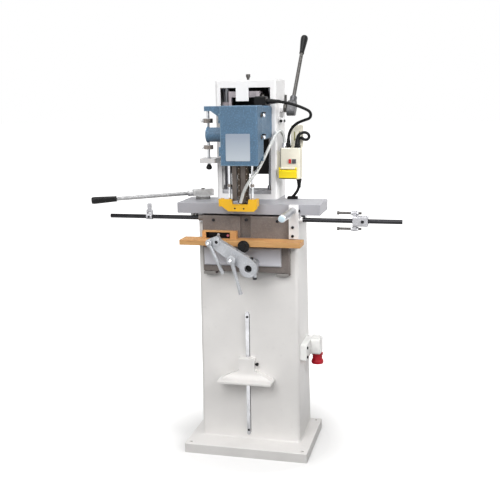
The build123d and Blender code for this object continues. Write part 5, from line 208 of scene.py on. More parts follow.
def ramp(tree, factor, stops):
    """A colour ramp through (place, colour) stops."""
    node = tree.nodes.new("ShaderNodeValToRGB")
    elements = node.color_ramp.elements
    while len(elements) < len(stops):
        elements.new(0.5)
    for element, (place, colour) in zip(elements, stops):
        element.position = place
        element.color = colour
    tree.links.new(factor, node.inputs["Fac"])
    return node.outputs["Color"]


def spread(tree, factor, low, high, from_low=0.3, from_high=0.7):
    """A number between low and high that follows a texture."""
    return add_node(tree, "MapRange", {
        "Value": factor, "From Min": from_low, "From Max": from_high, "To Min": low, "To Max": high,
    })["Result"]


def mixed(tree, factor, low, high):
    """A colour that goes from one socket or colour to another by a factor."""
    return add_node(tree, "Mix", {0: factor, 6: low, 7: high}, data_type="RGBA")[2]


def rounded(tree, radius, samples):
    """The surface's normal with its edges rounded."""
    return add_node(tree, "Bevel", {"Radius": radius}, samples=samples)["Normal"]


def edge_highlight_mask(tree, radius, most):
    """The share of a painted edge highlight: 0 on a face and up to a share on its edges, from how far a
    rounded normal leans off the face.
    """
    soft = rounded(tree, radius, samples=6)
    face = add_node(tree, "NewGeometry", {})["True Normal"]
    lean = add_node(tree, "VectorMath", {0: soft, 1: face}, operation="DOT_PRODUCT")["Value"]
    return spread(tree, lean, 0.0, most, from_low=0.975, from_high=0.85)


def colour_by(tree, colour):
    set_shader(tree, "Base Color", colour)


def roughen(tree, texture, low, high):
    """Lets a texture move the roughness between two levels."""
    set_shader(tree, "Roughness", spread(tree, texture, low, high))


def bump(tree, height, strength, distance, edge=0.0):
    """Raises the surface by a texture, on edges that are rounded by a small radius."""
    inputs = {"Height": height, "Strength": strength, "Distance": distance}
    if edge > 0:
        inputs["Normal"] = rounded(tree, edge, samples=4)
    set_shader(tree, "Normal", add_node(tree, "Bump", inputs)["Normal"])


# Finishes
def paint(name, colour, roughness, highlight_share=0.25):
    """Sprayed paint: uneven in colour and gloss, with a fine orange peel, faint soil and a painted highlight
    on its edges.
    """
    tree = new_material(name)
    clean = ramp(tree, noise(tree, 5.0, detail=5.0), two_tones(colour, 0.97, 1.015))
    soil = spread(tree, noise(tree, 36.0, detail=6.0), 0.0, 0.35, from_low=0.62, from_high=0.8)
    soiled = mixed(tree, soil, clean, linear(shade(colour, 0.93)))
    # Painted highlight: the edges are made paler, as if they caught the light.
    paint_edge_highlit = mixed(tree, edge_highlight_mask(tree, 2 * PAINT_EDGE, highlight_share), soiled, linear(shade(colour, 1.12)))
    colour_by(tree, paint_edge_highlit)
    roughen(tree, noise(tree, 60.0, detail=3.0), roughness - 0.05, roughness + 0.06)
    bump(tree, noise(tree, 420.0), strength=0.12, distance=0.0006, edge=PAINT_EDGE)


def casting(name, colour, roughness, grain, metallic=0.0, highlight_colour=None, fleck=1.1, edge=0.003):
    """A painted or bare sand casting with a rough speckled skin and a painted highlight on its edges."""
    tree = new_material(name, metallic)
    tones = two_tones(colour, 0.92, 1.07, low=0.28, high=0.78)
    tones.insert(1, (0.55, linear(colour)))
    skin = ramp(tree, noise(tree, 22.0, detail=6.0), tones)
    speckle = spread(tree, noise(tree, 170.0), 0.0, 0.75, from_low=0.5, from_high=0.68)
    speckled = mixed(tree, speckle, skin, linear(shade(colour, fleck)))
    # Painted highlight: a paler colour on the edges.
    pale = linear(highlight_colour or shade(colour, 1.2))
    colour_by(tree, mixed(tree, edge_highlight_mask(tree, edge, most=0.7), speckled, pale))
    roughen(tree, noise(tree, 140.0, detail=3.0), roughness - 0.08, roughness + 0.1)
    bump(tree, noise(tree, 230.0, detail=5.0), grain, distance=0.0012, edge=0.0018)


def metal(name, colour, roughness, stretch=(1, 1, 1), scratch=0.08):
    """Bare metal with fine tool marks that run where the stretch is small, and a painted highlight on its
    edges.
    """
    tree = new_material(name, metallic=1.0)
    marks = noise(tree, 900.0, detail=4.0, stretch=stretch)
    cloud = noise(tree, 30.0, detail=4.0)
    plain = ramp(tree, cloud, two_tones(colour, 0.88, 1.05, high=0.72))
    # Painted highlight: the edges are made brighter.
    edge_highlit = mixed(tree, edge_highlight_mask(tree, 0.001, most=0.5), plain, linear(shade(colour, 1.3)))
    colour_by(tree, edge_highlit)
    roughen(tree, marks, roughness - 0.06, roughness + 0.1)
    bump(tree, marks, scratch, distance=0.0003, edge=0.0006)


def lever_metal(name, centre, reach, near, far, roughness):
    """A lever whose cast head, within a reach of its centre, is another colour than its rod."""
    tree = new_material(name, metallic=0.75)
    ends = {0: coordinates(tree), 1: centre * MM}
    distance = add_node(tree, "VectorMath", ends, operation="DISTANCE")["Value"]
    outside = spread(tree, distance, 0.0, 1.0, reach * MM, (reach + 1) * MM)
    cloud = noise(tree, 60.0, detail=5.0)
    head = ramp(tree, cloud, two_tones(near, 0.9, 1.08))
    rod = ramp(tree, cloud, two_tones(far, 0.9, 1.08))
    both = mixed(tree, outside, head, rod)
    # Painted highlight: the edges are made brighter than the head's colour.
    edge_highlit = mixed(tree, edge_highlight_mask(tree, 0.0015, most=0.5), both, linear(shade(near, 1.25)))
    colour_by(tree, edge_highlit)
    roughen(tree, noise(tree, 200.0, detail=3.0), roughness - 0.07, roughness + 0.1)
    bump(tree, noise(tree, 380.0, detail=4.0), strength=0.12, distance=0.0006, edge=0.001)


def plastic(name, colour, roughness, grain=0.1, specular=0.5):
    """Moulded plastic with a fine spark-eroded grain and a slightly paler painted highlight on its edges."""
    tree = new_material(name, specular=specular)
    plain = ramp(tree, noise(tree, 14.0, detail=3.0), two_tones(colour, 0.95, 1.03))
    # Painted highlight: a paler colour on the edges.
    pale = linear(shade(colour, 1.2))
    colour_by(tree, mixed(tree, edge_highlight_mask(tree, 1.5 * PLASTIC_EDGE, most=0.4), plain, pale))
    roughen(tree, noise(tree, 200.0), roughness - 0.05, roughness + 0.08)
    bump(tree, noise(tree, 1600.0), grain, distance=0.0003, edge=PLASTIC_EDGE)


def beech(name):
    """Beech with its grain along X, short dark flecks and a paler painted highlight on its edges."""
    tree = new_material(name, specular=0.35)
    tones = [
        (0.3, linear(BEECH_DARK)),
        (0.52, linear(shade(BEECH_LIGHT, 0.94))),
        (0.72, linear(BEECH_LIGHT)),
    ]
    grain = ramp(tree, noise(tree, 40.0, detail=6.0, stretch=(0.12, 1, 1)), tones)
    flecks = noise(tree, 260.0, detail=3.0, stretch=(0.08, 1, 1))
    dark = spread(tree, flecks, 0.0, 0.5, from_low=0.6, from_high=0.72)
    flecked = mixed(tree, dark, grain, linear(shade(BEECH_DARK, 0.82)))
    # Painted highlight: a paler colour on the edges.
    wood_edge_highlit = mixed(tree, edge_highlight_mask(tree, 0.002, most=0.4), flecked, linear(shade(BEECH_LIGHT, 1.08)))
    colour_by(tree, wood_edge_highlit)
    roughen(tree, flecks, 0.46, 0.66)
    bump(tree, flecks, strength=0.2, distance=0.0005, edge=0.001)


def clear_hose(name):
    """Clear plastic hose, a little cloudy."""
    tree = new_material(name)
    set_shader(tree, "Transmission Weight", 0.2)
    set_shader(tree, "IOR", 1.3)
    colour_by(tree, ramp(tree, noise(tree, 18.0, detail=1.0), two_tones(HOSE_TINT, 0.93, 1.0)))
    roughen(tree, noise(tree, 30.0, detail=3.0), 0.24, 0.3)
    bump(tree, noise(tree, 40.0, detail=1.0), strength=0.02, distance=0.0003)


def name_plate(name):
    """A bare plate that fades from pale at the bottom to blue-grey at the top."""
    tree = new_material(name, metallic=0.25)
    low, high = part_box("nameplate")
    height = add_node(tree, "SeparateXYZ", {"Vector": coordinates(tree)})["Z"]
    rise = spread(tree, height, 0.0, 1.0, low.z, high.z)
    colour_by(tree, ramp(tree, rise, [(0.1, linear(PLATE_PALE)), (0.9, linear(PLATE_BLUE))]))
    roughen(tree, noise(tree, 90.0, detail=3.0), 0.28, 0.4)
    bump(tree, noise(tree, 700.0), strength=0.04, distance=0.0003)


def make_finishes():
    """Each finish under its name, with its screen colour and its roughness."""
    paint("column_paint", (233, 231, 229), 0.42)
    paint("white_paint", (232, 231, 231), 0.36)
    paint("saddle_paint", (160, 160, 166), 0.4)
    # The panel's broad pale edges are a painted highlight.
    paint("panel_paint", (204, 204, 211), 0.42, highlight_share=0.8)
    paint("tab_paint", (136, 133, 130), 0.45)
    casting("fence_iron", (110, 102, 98), 0.6, grain=0.3)
    casting("arm_alloy", (166, 168, 172), 0.42, grain=0.2, metallic=0.4)
    casting("foot_alloy", (172, 172, 176), 0.45, grain=0.2, metallic=0.3)
    casting("band_iron", (158, 150, 154), 0.5, grain=0.2, metallic=0.2)
    # The casing's pale blue edge colour is a painted highlight.
    casting(
        "casing_blue", (68, 98, 123), 0.46, grain=0.4, highlight_colour=(140, 166, 184), fleck=1.22, edge=0.007,
    )
    paint("guard_paint", (230, 176, 18), 0.35)
    plastic("flap_plastic", (242, 214, 10), 0.35)
    plastic("box_plastic", (230, 225, 208), 0.45)
    plastic("olive_plastic", (150, 146, 92), 0.5)
    plastic("inlet_plastic", (247, 247, 245), 0.4)
    plastic("red_plastic", (180, 12, 34), 0.34, specular=0.3)
    plastic("button_plastic", (205, 30, 30), 0.3)
    plastic("dark_button", (66, 66, 72), 0.35)
    plastic("pink_plastic", (214, 120, 140), 0.35)
    plastic("cap_plastic", (206, 226, 236), 0.3)
    plastic("black_plastic", (15, 15, 16), 0.34, specular=BLACK_SHINE)
    plastic("rubber", (16, 16, 17), 0.5, grain=0.2, specular=BLACK_SHINE)
    beech("beech")
    metal("steel_x", STEEL, 0.3, ALONG_X)
    metal("steel_z", STEEL, 0.3, ALONG_Z)
    metal("pale_steel", (192, 193, 194), 0.38, ALONG_X)
    metal("black_steel", (44, 44, 46), 0.22, ALONG_X)
    metal("dark_steel", DARK_STEEL, 0.4)
    metal("chain_steel", (62, 54, 47), 0.42)
    metal("guide_steel", (88, 82, 78), 0.4, ALONG_Z)
    metal("collar_steel", (132, 125, 120), 0.4)
    metal("brass", (196, 164, 92), 0.3)
    metal("chrome", (226, 228, 231), 0.12, ALONG_Z, scratch=0.02)
    # Painted shade: the guide columns' chrome is made dark grey, as it looks in the upright's dark opening.
    metal("shaded_column_chrome", (120, 121, 125), 0.14, ALONG_Z, scratch=0.02)
    lever_metal("feed_metal", FEED_PIVOT, 66, (86, 86, 88), DARK_STEEL, 0.42)
    lever_metal("traverse_metal", TRAVERSE_HEAD, 62, (184, 184, 184), (146, 146, 147), 0.4)
    clear_hose("hose")
    name_plate("name_plate")


NODE_FINISH = {
    "column_paint": "base_plate column shelf",
    "white_paint": "post_bracket upright depth_bracket",
    "saddle_paint": "saddle",
    "panel_paint": "fence_panel",
    "fence_iron": "fence_casting",
    "arm_alloy": "clamp_arm clamp_lever side_lever",
    "foot_alloy": "foot_block motor right_stop left_stop left_finger",
    "band_iron": "crosshead",
    "casing_blue": "head_casing chain_cover",
    "guard_paint": "guard",
    "flap_plastic": "switch_flap",
    "box_plastic": "switch_box terminal_cover",
    "inlet_plastic": "inlet_body",
    "red_plastic": "inlet_collar",
    "button_plastic": "stop_button",
    "dark_button": "start_button",
    "black_plastic": (
        "back_panel cable_glands traverse_grip depth_ball entry_box feed_grip shelf_knob black_screws"
    ),
    "rubber": "motor_cable switch_cables clamp_pad",
    "beech": "wood_board wood_block",
    "steel_x": "guide_bars traverse_rack",
    "steel_z": "rest_rail clamp_posts depth_rod",
    "black_steel": "stop_rods",
    "dark_steel": "drive_sprocket feed_shaft stop_screws wing_screw",
    "feed_metal": "feed_lever",
    "traverse_metal": "traverse_lever",
    "chain_steel": "mortise_chain",
    "guide_steel": "guide_bar",
    "chrome": "cover_knobs guard_rods",
    "shaded_column_chrome": "guide_columns",
    "hose": "blower_hose",
    "name_plate": "nameplate",
}


def finish_nodes():
    """Gives each node of the frame its finish."""
    for finish, names in NODE_FINISH.items():
        for name in names.split():
            slots = frame["nodes"][name].data.materials
            slots.clear()
            slots.append(FINISH[finish])


# Mesh pieces, in millimetres
SHARP_ANGLE = 35
SOFT_ANGLE = 60
GROOVE_DEPTH = 0.03


def add_piece(name, form, finish, sharp=SHARP_ANGLE):
    """Makes a smooth-shaded piece from a bmesh."""
    bmesh.ops.recalc_face_normals(form, faces=form.faces)
    mesh = bpy.data.meshes.new(name)
    form.to_mesh(mesh)
    form.free()
    for face in mesh.polygons:
        face.use_smooth = True
    mesh.set_sharp_from_angle(angle=math.radians(sharp))
    mesh.materials.append(FINISH[finish])
    piece = bpy.data.objects.new(name, mesh)
    SCENE.collection.objects.link(piece)
    return piece


def bridge(form, low, high):
    """Faces between two rings, where a ring of one point is a tip."""
    count = max(len(low), len(high))
    for step in range(count):
        ring_corners = [low[step % len(low)], low[(step + 1) % len(low)]]
        ring_corners += [high[(step + 1) % len(high)], high[step % len(high)]]
        form.faces.new(list(dict.fromkeys(ring_corners)))


def bridge_all(form, rings):
    """Faces between each ring and the next."""
    for low, high in zip(rings, rings[1:]):
        bridge(form, low, high)


def ring_radius(radius, flats, angle):
    """A ring's radius at an angle: round, with flat sides, or with grooves where the number is negative."""
    if flats > 0:
        part = 2 * math.pi / flats
        return radius * math.cos(part / 2) / math.cos(angle % part - part / 2)
    return radius * (1 - GROOVE_DEPTH * (1 - math.cos(flats * angle)) / 2)


def lathe(form, profile, origin, axis, sides=36):
    """Turns (radius, distance, flats) points about an axis, with flats left out for round."""
    turn = Vector(axis).to_track_quat("Z", "Y").to_matrix()
    rings = []
    for radius, along, *flats in profile:
        count = sides if radius > 0 else 1
        ring = []
        for step in range(count):
            angle = 2 * math.pi * step / sides
            reach = ring_radius(radius, flats[0] if flats else 0, angle)
            offset = Vector((reach * math.cos(angle), reach * math.sin(angle), along))
            ring.append(form.verts.new((Vector(origin) + turn @ offset) * MM))
        rings.append(ring)
    bridge_all(form, rings)


def block(form, low, high, rounding):
    """A block between two corners, with rounded edges."""
    made = bmesh.ops.create_cube(form, size=1.0)
    for vertex in made["verts"]:
        for axis in range(3):
            vertex.co[axis] = (low[axis] if vertex.co[axis] < 0 else high[axis]) * MM
    edges = list({edge for vertex in made["verts"] for edge in vertex.link_edges})
    bmesh.ops.bevel(form, geom=edges, offset=rounding * MM, segments=3, profile=0.5, affect="EDGES")


def socket_screw(form, place, axis, radius, height):
    """A socket-head screw: a rounded head with a six-sided recess."""
    edge = 0.14 * radius
    depth = 0.4 * height
    lathe(form, [
        (0, 0), (radius, 0), (radius, height - edge), (radius - 0.3 * edge, height - 0.3 * edge),
        (radius - edge, height), (0.56 * radius, height, 6), (0.54 * radius, depth, 6), (0, depth),
    ], place, axis)


def nut(form, place, axis, radius, height, bore):
    """A six-sided nut with chamfered corners, a round bore and a washer face."""
    lathe(form, [
        (bore, 0), (0.86 * radius, 0), (radius, 0.14 * height, 6), (radius, 0.86 * height, 6),
        (0.86 * radius, height), (bore, height), (bore, 0),
    ], place, axis)


def dome_nut(form, place, axis, radius):
    """A cap nut: six flats under a dome."""
    lathe(form, [
        (0, 0), (0.9 * radius, 0), (radius, 0.12 * radius, 6), (radius, 0.62 * radius, 6),
        (0.8 * radius, 0.78 * radius), (0.74 * radius, 0.96 * radius), (0.6 * radius, 1.2 * radius),
        (0.35 * radius, 1.38 * radius), (0, 1.45 * radius),
    ], place, axis)


def islands(name):
    """The boxes of a node's separate solids, found by joining vertices at the same place."""
    mesh = frame["nodes"][name].data
    keys = [tuple(round(value / MM, 2) for value in vertex.co) for vertex in mesh.vertices]
    leader = {key: key for key in keys}

    def top(key):
        while leader[key] != key:
            leader[key] = leader[leader[key]]
            key = leader[key]
        return key

    for face in mesh.polygons:
        first = top(keys[face.vertices[0]])
        for index in face.vertices:
            leader[top(keys[index])] = first
    groups = {}
    for key in leader:
        groups.setdefault(top(key), []).append(key)
    boxes = []
    for group in groups.values():
        sides = list(zip(*group))
        boxes.append(([min(side) for side in sides], [max(side) for side in sides]))
    return [(Vector(low), Vector(high)) for low, high in sorted(boxes)]


def tube_rings(form, path, radius, sides):
    """Rings of vertices along a path in metres, turned as little as possible from one to the next."""
    rings = []
    side = None
    for index, point in enumerate(path):
        ahead = path[min(index + 1, len(path) - 1)]
        behind = path[max(index - 1, 0)]
        along = (ahead - behind).normalized()
        if side is None:
            side = along.orthogonal().normalized()
        side = (side - along * side.dot(along)).normalized()
        across = along.cross(side)
        ring = []
        for step in range(sides):
            angle = 2 * math.pi * step / sides
            ring.append(form.verts.new(point + radius * (side * math.cos(angle) + across * math.sin(angle))))
        rings.append(ring)
    return rings


def tube(form, path, radius, sides, bore=0.0):
    """A round tube along a path, solid or with a bore."""
    outer = tube_rings(form, path, radius, sides)
    bridge_all(form, outer)
    if bore == 0:
        form.faces.new(outer[0])
        form.faces.new(outer[-1])
        return
    inner = tube_rings(form, path, bore, sides)
    bridge_all(form, inner)
    bridge(form, outer[0], inner[0])
    bridge(form, outer[-1], inner[-1])


# Cords: each route, in millimetres, holds the control points of the cord's smooth spline
HOSE_ROUTE = [
    (131, 50, 1322), (131, 50, 1342), (128, 42, 1363), (121, 25, 1378), (111, 2, 1371), (100, -20, 1349),
    (88, -48, 1314), (74, -100, 1264), (66, -156, 1230), (55, -207, 1207), (33, -216, 1174),
    (13, -211, 1136), (3, -208, 1100),
]
MOTOR_CABLE_ROUTE = [
    (88, -15, 1498), (112, -15, 1498), (148, -9, 1494), (186, -1, 1483), (213, 4, 1473), (232, 9, 1464),
    (244, 13, 1457), (250, 18, 1446.5), (249, 23, 1434.5), (241, 28, 1425.5), (224, 34, 1420.5),
    (202, 41, 1413), (183, 47, 1404), (167, 53, 1391), (154, 57, 1373), (147, 60, 1349), (147, 60, 1322),
]
LOOP_ROUTE = [
    (186, 48, 1322), (186, 48, 1338), (190, 49, 1353), (200, 52, 1364), (216, 57, 1369), (231, 62, 1363),
    (236, 66, 1349), (228, 69, 1337), (213, 71, 1336), (204.5, 71, 1344), (193.5, 70.5, 1343.5),
    (186, 70, 1336), (186, 70, 1322),
]
SUPPLY_ROUTE = [(192, 60, 1164), (192, 60, 1136), (178, 62, 1109), (160, 63, 1091)]
CORD_STEPS = 6
CORD_SIDES = 20

# Cord sizes, in metres
HOSE_RADIUS = 6.5 * MM
HOSE_BORE = 4.5 * MM
CABLE_RADIUS = 6 * MM


def spline_path(name, route):
    """Points along the smooth spline whose control points are the route."""
    curve = bpy.data.curves.new(name, "CURVE")
    curve.dimensions = "3D"
    spline = curve.splines.new("NURBS")
    spline.points.add(len(route) - 1)
    for point, place in zip(spline.points, route):
        point.co = (*(value * MM for value in place), 1.0)
    spline.order_u = 3
    spline.use_endpoint_u = True
    spline.resolution_u = CORD_STEPS
    holder = bpy.data.objects.new(name, curve)
    SCENE.collection.objects.link(holder)
    bpy.context.view_layer.update()
    line = bpy.data.meshes.new_from_object(holder)
    path = [vertex.co.copy() for vertex in line.vertices]
    bpy.data.objects.remove(holder)
    bpy.data.meshes.remove(line)
    return path


def add_cord(name, node, route, radius=CABLE_RADIUS, bore=0.0, finish="rubber"):
    """A cord along a route, which stands for its node and goes from the object back into it."""
    path = spline_path(name + "_line", route)
    form = bmesh.new()
    tube(form, path, radius, CORD_SIDES, bore)
    piece = add_piece(name, form, finish, SOFT_ANGLE)
    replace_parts(piece, node)
    return piece


def add_cords():
    hose = add_cord("air_hose", "blower_hose", HOSE_ROUTE, HOSE_RADIUS, HOSE_BORE, "hose")
    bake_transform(hose)
    lead = add_cord("motor_lead", "motor_cable", MOTOR_CABLE_ROUTE)
    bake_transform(lead)
    loop = add_cord("gland_loop", "switch_cables", LOOP_ROUTE)
    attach(loop, "carriage")
    supply = add_cord("supply_lead", "switch_cables", SUPPLY_ROUTE)
    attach(supply, "carriage")


# Pieces that ride on one body
def add_riding(name, body, form, finish, sharp=SHARP_ANGLE):
    piece = add_piece(name, form, finish, sharp)
    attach(piece, body)
    return piece


def add_turned(name, body, finish, parts, sides=36):
    """A piece made of turned forms, each a (profile, origin, axis)."""
    form = bmesh.new()
    for profile, origin, axis in parts:
        lathe(form, profile, origin, axis, sides)
    return add_riding(name, body, form, finish)


def add_screws(name, body, places, finish="black_steel"):
    """Socket screws, each a (place, axis, radius, height), as one piece."""
    form = bmesh.new()
    for place, axis, radius, height in places:
        socket_screw(form, place, axis, radius, height)
    return add_riding(name, body, form, finish)


def add_nuts(name, body, places, finish):
    """Nuts, each a (place, axis, radius, height, bore), as one piece."""
    form = bmesh.new()
    for place, axis, radius, height, bore in places:
        nut(form, place, axis, radius, height, bore)
    return add_riding(name, body, form, finish)


def add_blocks(name, body, finish, boxes, rounding):
    """Blocks with rounded edges, each a (low, high) pair of corners, as one piece."""
    form = bmesh.new()
    for low, high in boxes:
        block(form, low, high, rounding)
    return add_riding(name, body, form, finish)


def add_stand_screws():
    """Socket screws in place of the plain black heads, which face the front or the right."""
    places = []
    for low, high in islands("black_screws"):
        size = high - low
        place = (low + high) / 2
        radius = sorted(size)[1] / 2
        if size.y == min(size):
            place.y = high.y
            places.append((place, FRONT, radius, size.y))
        else:
            place.x = low.x
            places.append((place, RIGHT, radius, size.x))
    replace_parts(add_screws("stand_screws", "stand", places), "black_screws")


# A grip's outline, as shares of its largest radius and its length
GRIP_ROOT = 0.62
GRIP_SHAPE = [
    (0.0, 0.0), (GRIP_ROOT, 0.0), (0.66, 0.012), (0.66, 0.03), (0.6, 0.04), (0.62, 0.08), (0.68, 0.2),
    (0.76, 0.35), (0.84, 0.5), (0.92, 0.65), (0.98, 0.78), (1.0, 0.86), (0.97, 0.92), (0.86, 0.96),
    (0.66, 0.985), (0.4, 0.997), (0.0, 1.0),
]


def add_feed_grip():
    """The feed lever's tapered black grip with a collar at the root and a domed end."""
    lean = math.radians(45)
    way = Vector((0, math.cos(lean), math.sin(lean)))
    start = FEED_PIVOT + 335 * way
    length = 111
    radius = 16.5
    profile = [(share * radius, along * length) for share, along in GRIP_SHAPE]
    grip = add_turned("feed_handle", "feed", "black_plastic", [(profile, start, way)], 40)
    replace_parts(grip, "feed_grip")


def add_traverse_grip():
    """The traverse lever's more even grip, the knurled collar under its head and the screw on top."""
    turn = math.radians(206.7)
    drop = math.radians(2)
    level = math.cos(drop)
    way = Vector((math.cos(turn) * level, math.sin(turn) * level, -math.sin(drop)))
    start = TRAVERSE_HEAD + 372 * way
    length = 106
    root = 12
    swell = 7.8
    end = 20
    profile = []
    for share, along in GRIP_SHAPE:
        radius = min(root + swell * (share - GRIP_ROOT), end * share)
        profile.append((radius, along * length))
    grip = add_turned("traverse_handle", "traverse", "black_plastic", [(profile, start, way)], 40)
    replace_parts(grip, "traverse_grip")
    x, y = TRAVERSE_HEAD.xy
    add_turned("traverse_collar", "traverse", "dark_steel", [(
        [(29.5, 0.5), (30.6, 1.5, -60), (30.6, 13, -60), (29.5, 14.2), (28, 14.2)],
        (x, y, corners("saddle")[1].z), UP,
    )], 240)
    lever_top = corners("traverse_lever")[1].z
    add_screws("traverse_screw", "traverse", [((x, y, lever_top), UP, 8, 4)], "dark_steel")


def add_depth_stop():
    """The black egg under the depth rod, knurled collars and their thumb screws."""
    x, y = middle("depth_ball").xy
    egg = add_turned("depth_egg", "head", "black_plastic", [([
        (0, 26), (4.5, 25.6), (6.4, 24.4), (7.6, 21.5), (9.4, 18), (11.4, 14.5), (12.7, 11), (12.9, 8.5),
        (12, 5.2), (9.6, 2.4), (6, 0.7), (2.6, 0.1), (0, 0),
    ], (x, y, corners("depth_ball")[0].z), UP)], 32)
    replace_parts(egg, "depth_ball")
    side = corners("depth_rod")[0].x
    ring = [(18, -8.6), (19.8, -8.6, -40), (19.8, 8.6, -40), (18, 8.6)]
    thumb = [(0, 0), (6.2, 0), (6.8, 0.8, -24), (6.8, 6.4, -24), (6.2, 7.2), (0, 7.2)]
    heights = (1312, 1422)
    rings = [(ring, (x, y, height), UP) for height in heights]
    add_turned("depth_collars", "head", "collar_steel", rings, 160)
    thumbs = [(thumb, (side, y, height), LEFT) for height in heights]
    add_turned("depth_thumbs", "head", "pale_steel", thumbs, 96)


def add_inlet():
    """The red collar that points down, brass pins in it, and the body's tab and lid."""
    hub = middle("inlet_collar")
    top = corners("inlet_collar")[1].z
    depth = 8
    collar = add_turned("mains_collar", "stand", "red_plastic", [([
        (0, 0), (24, 0), (25, 1), (25, 8), (24, 9.5), (22.2, 11), (22, 13), (22, 26), (22.3, 28), (24.5, 32),
        (26.6, 35, -30), (27, 36.5, -30), (27, 45.5, -30), (26.2, 47.6), (24.6, 48), (20.4, 48),
        (19.2, 46.6), (19, 44), (19, depth), (0, depth),
    ], (hub.x, hub.y, top), DOWN)], 120)
    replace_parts(collar, "inlet_collar")
    circle = 12
    pin = [(0, 0), (2.8, 0), (2.8, 27), (2.2, 29), (0, 29.4)]
    pins = []
    for turn in (45, 135, 225, 315):
        angle = math.radians(turn)
        place = (hub.x + circle * math.cos(angle), hub.y + circle * math.sin(angle), top - depth)
        pins.append((pin, place, DOWN))
    add_turned("mains_pins", "stand", "brass", pins, 20)
    roof = corners("inlet_body")[1].z
    add_blocks("mains_tab", "stand", "inlet_plastic", [
        ((hub.x - 19, hub.y - 20, roof), (hub.x + 15, hub.y - 8, roof + 18)),
    ], 3)
    add_blocks("mains_lid", "stand", "inlet_plastic", [
        ((hub.x - 21, hub.y - 35, top + 7), (hub.x + 16, hub.y - 31.6, roof - 6)),
    ], 1.5)


def add_wood_pocket():
    """The pocket in the wooden block, with black sheets on its floor and walls as painted shade, and a screw
    and a small pink knob in it.
    """
    left = -162.6
    right = -60.4
    bottom = 943.4
    top = 967.6
    mouth = corners("wood_block")[0].y
    floor = mouth + 13
    back = floor + 1
    shade_sheet = 0.8
    sink = 0.2
    # Painted shade: black sheets line the pocket's floor and walls.
    add_blocks("pocket_painted_shade", "stand", "black_plastic", [
        ((left, floor, bottom), (right, floor + 1.8, top)),
        ((left, mouth, bottom - sink), (right, back, bottom + shade_sheet)),
        ((left, mouth, top - shade_sheet), (right, back, top + sink)),
        ((left - sink, mouth, bottom), (left + shade_sheet, back, top)),
        ((right - shade_sheet, mouth, bottom), (right + sink, back, top)),
    ], 0.4)
    add_screws("pocket_screw", "stand", [((-112, floor, 956), FRONT, 6, 4)], "steel_x")
    add_turned("pocket_knob", "stand", "pink_plastic", [
        ([(0, 0), (5.4, 0), (5.4, 4), (4.6, 5.4), (2.6, 6.2), (0, 6.4)], (-71, floor, 953), FRONT),
    ], 24)


def add_post_cap():
    """The pale cap on the long post's front end."""
    end = (202, corners("clamp_posts")[0].y, 1061)
    add_turned("post_cap", "stand", "cap_plastic", [
        ([(0, 2), (8, 1.8), (11.5, 1.2), (13.2, 0.2), (13.2, -1), (0, -1)], end, FRONT),
    ])


def add_rail_lines():
    """The thin dark lines of painted shade where the shelf's rail meets the column."""
    low, high = corners("rest_rail")
    wall = high.y
    bottom = 72
    top = 607
    add_blocks("rail_shade_lines", "stand", "dark_steel", [
        ((low.x - 1.7, wall - 0.32, bottom), (low.x - 0.2, wall + 0.2, top)),
        ((high.x + 0.2, wall - 0.32, bottom), (high.x + 1.7, wall, top)),
    ], 0.1)


def add_fence_tabs():
    """The two pale plates at the foot of the fence."""
    low = corners("fence_casting")[0]
    width = 52
    add_blocks("fence_tabs", "stand", "tab_paint", [
        ((left, low.y - 0.7, low.z + 0.6), (left + width, low.y + 0.2, low.z + 13)) for left in (-184, 130)
    ], 0.3)


def add_foot_bead():
    """The weld bead round the column's foot, which turns with the column's corners."""
    low, high = corners("column")
    corner = 16
    left = low.x + corner
    right = high.x - corner
    front = low.y + corner
    back = high.y - corner
    steps = 8
    path = []
    for quarter, (x, y) in enumerate(((right, back), (left, back), (left, front), (right, front))):
        for step in range(steps + 1):
            angle = math.radians(90 * (quarter + step / steps))
            reach = corner * Vector((math.cos(angle), math.sin(angle), 0))
            path.append((Vector((x, y, low.z + 0.6)) + reach) * MM)
    form = bmesh.new()
    bridge_all(form, tube_rings(form, path + [path[0]], radius=3.2 * MM, sides=10))
    add_riding("foot_bead", "stand", form, "column_paint", SOFT_ANGLE)


def add_right_stop():
    """Lock nuts of the right stop's adjusting screws and the socket screw that clamps it."""
    rod = middle("stop_rods")
    low = corners("right_stop")[0]
    lug = 14
    offset = 32
    nuts = []
    for height in (rod.z - offset, rod.z + offset):
        nuts.append(((low.x, rod.y, height), LEFT, 9.4, 8, 5.2))
        nuts.append(((low.x + lug, rod.y, height), RIGHT, 9.4, 8, 5.2))
    add_nuts("stop_nuts", "right_block", nuts, "steel_x")
    add_screws("stop_clamp_screw", "right_block", [((low.x + 40, low.y, rod.z), FRONT, 6.5, 3.5)])


def add_left_stop():
    """The wide end of the left stop's finger and the grub screw of its collar."""
    finger = pivot("finger_pivot")
    add_blocks("finger_blade", "finger", "foot_alloy", [
        (finger + Vector((-8.5, -6.2, 10.2)), finger + Vector((9, 6.2, 32.6))),
    ], 3)
    place = (finger.x, corners("left_stop")[0].y + 0.4, middle("stop_rods").z)
    add_screws("collar_screw", "left_collar", [(place, FRONT, 5, 3)])


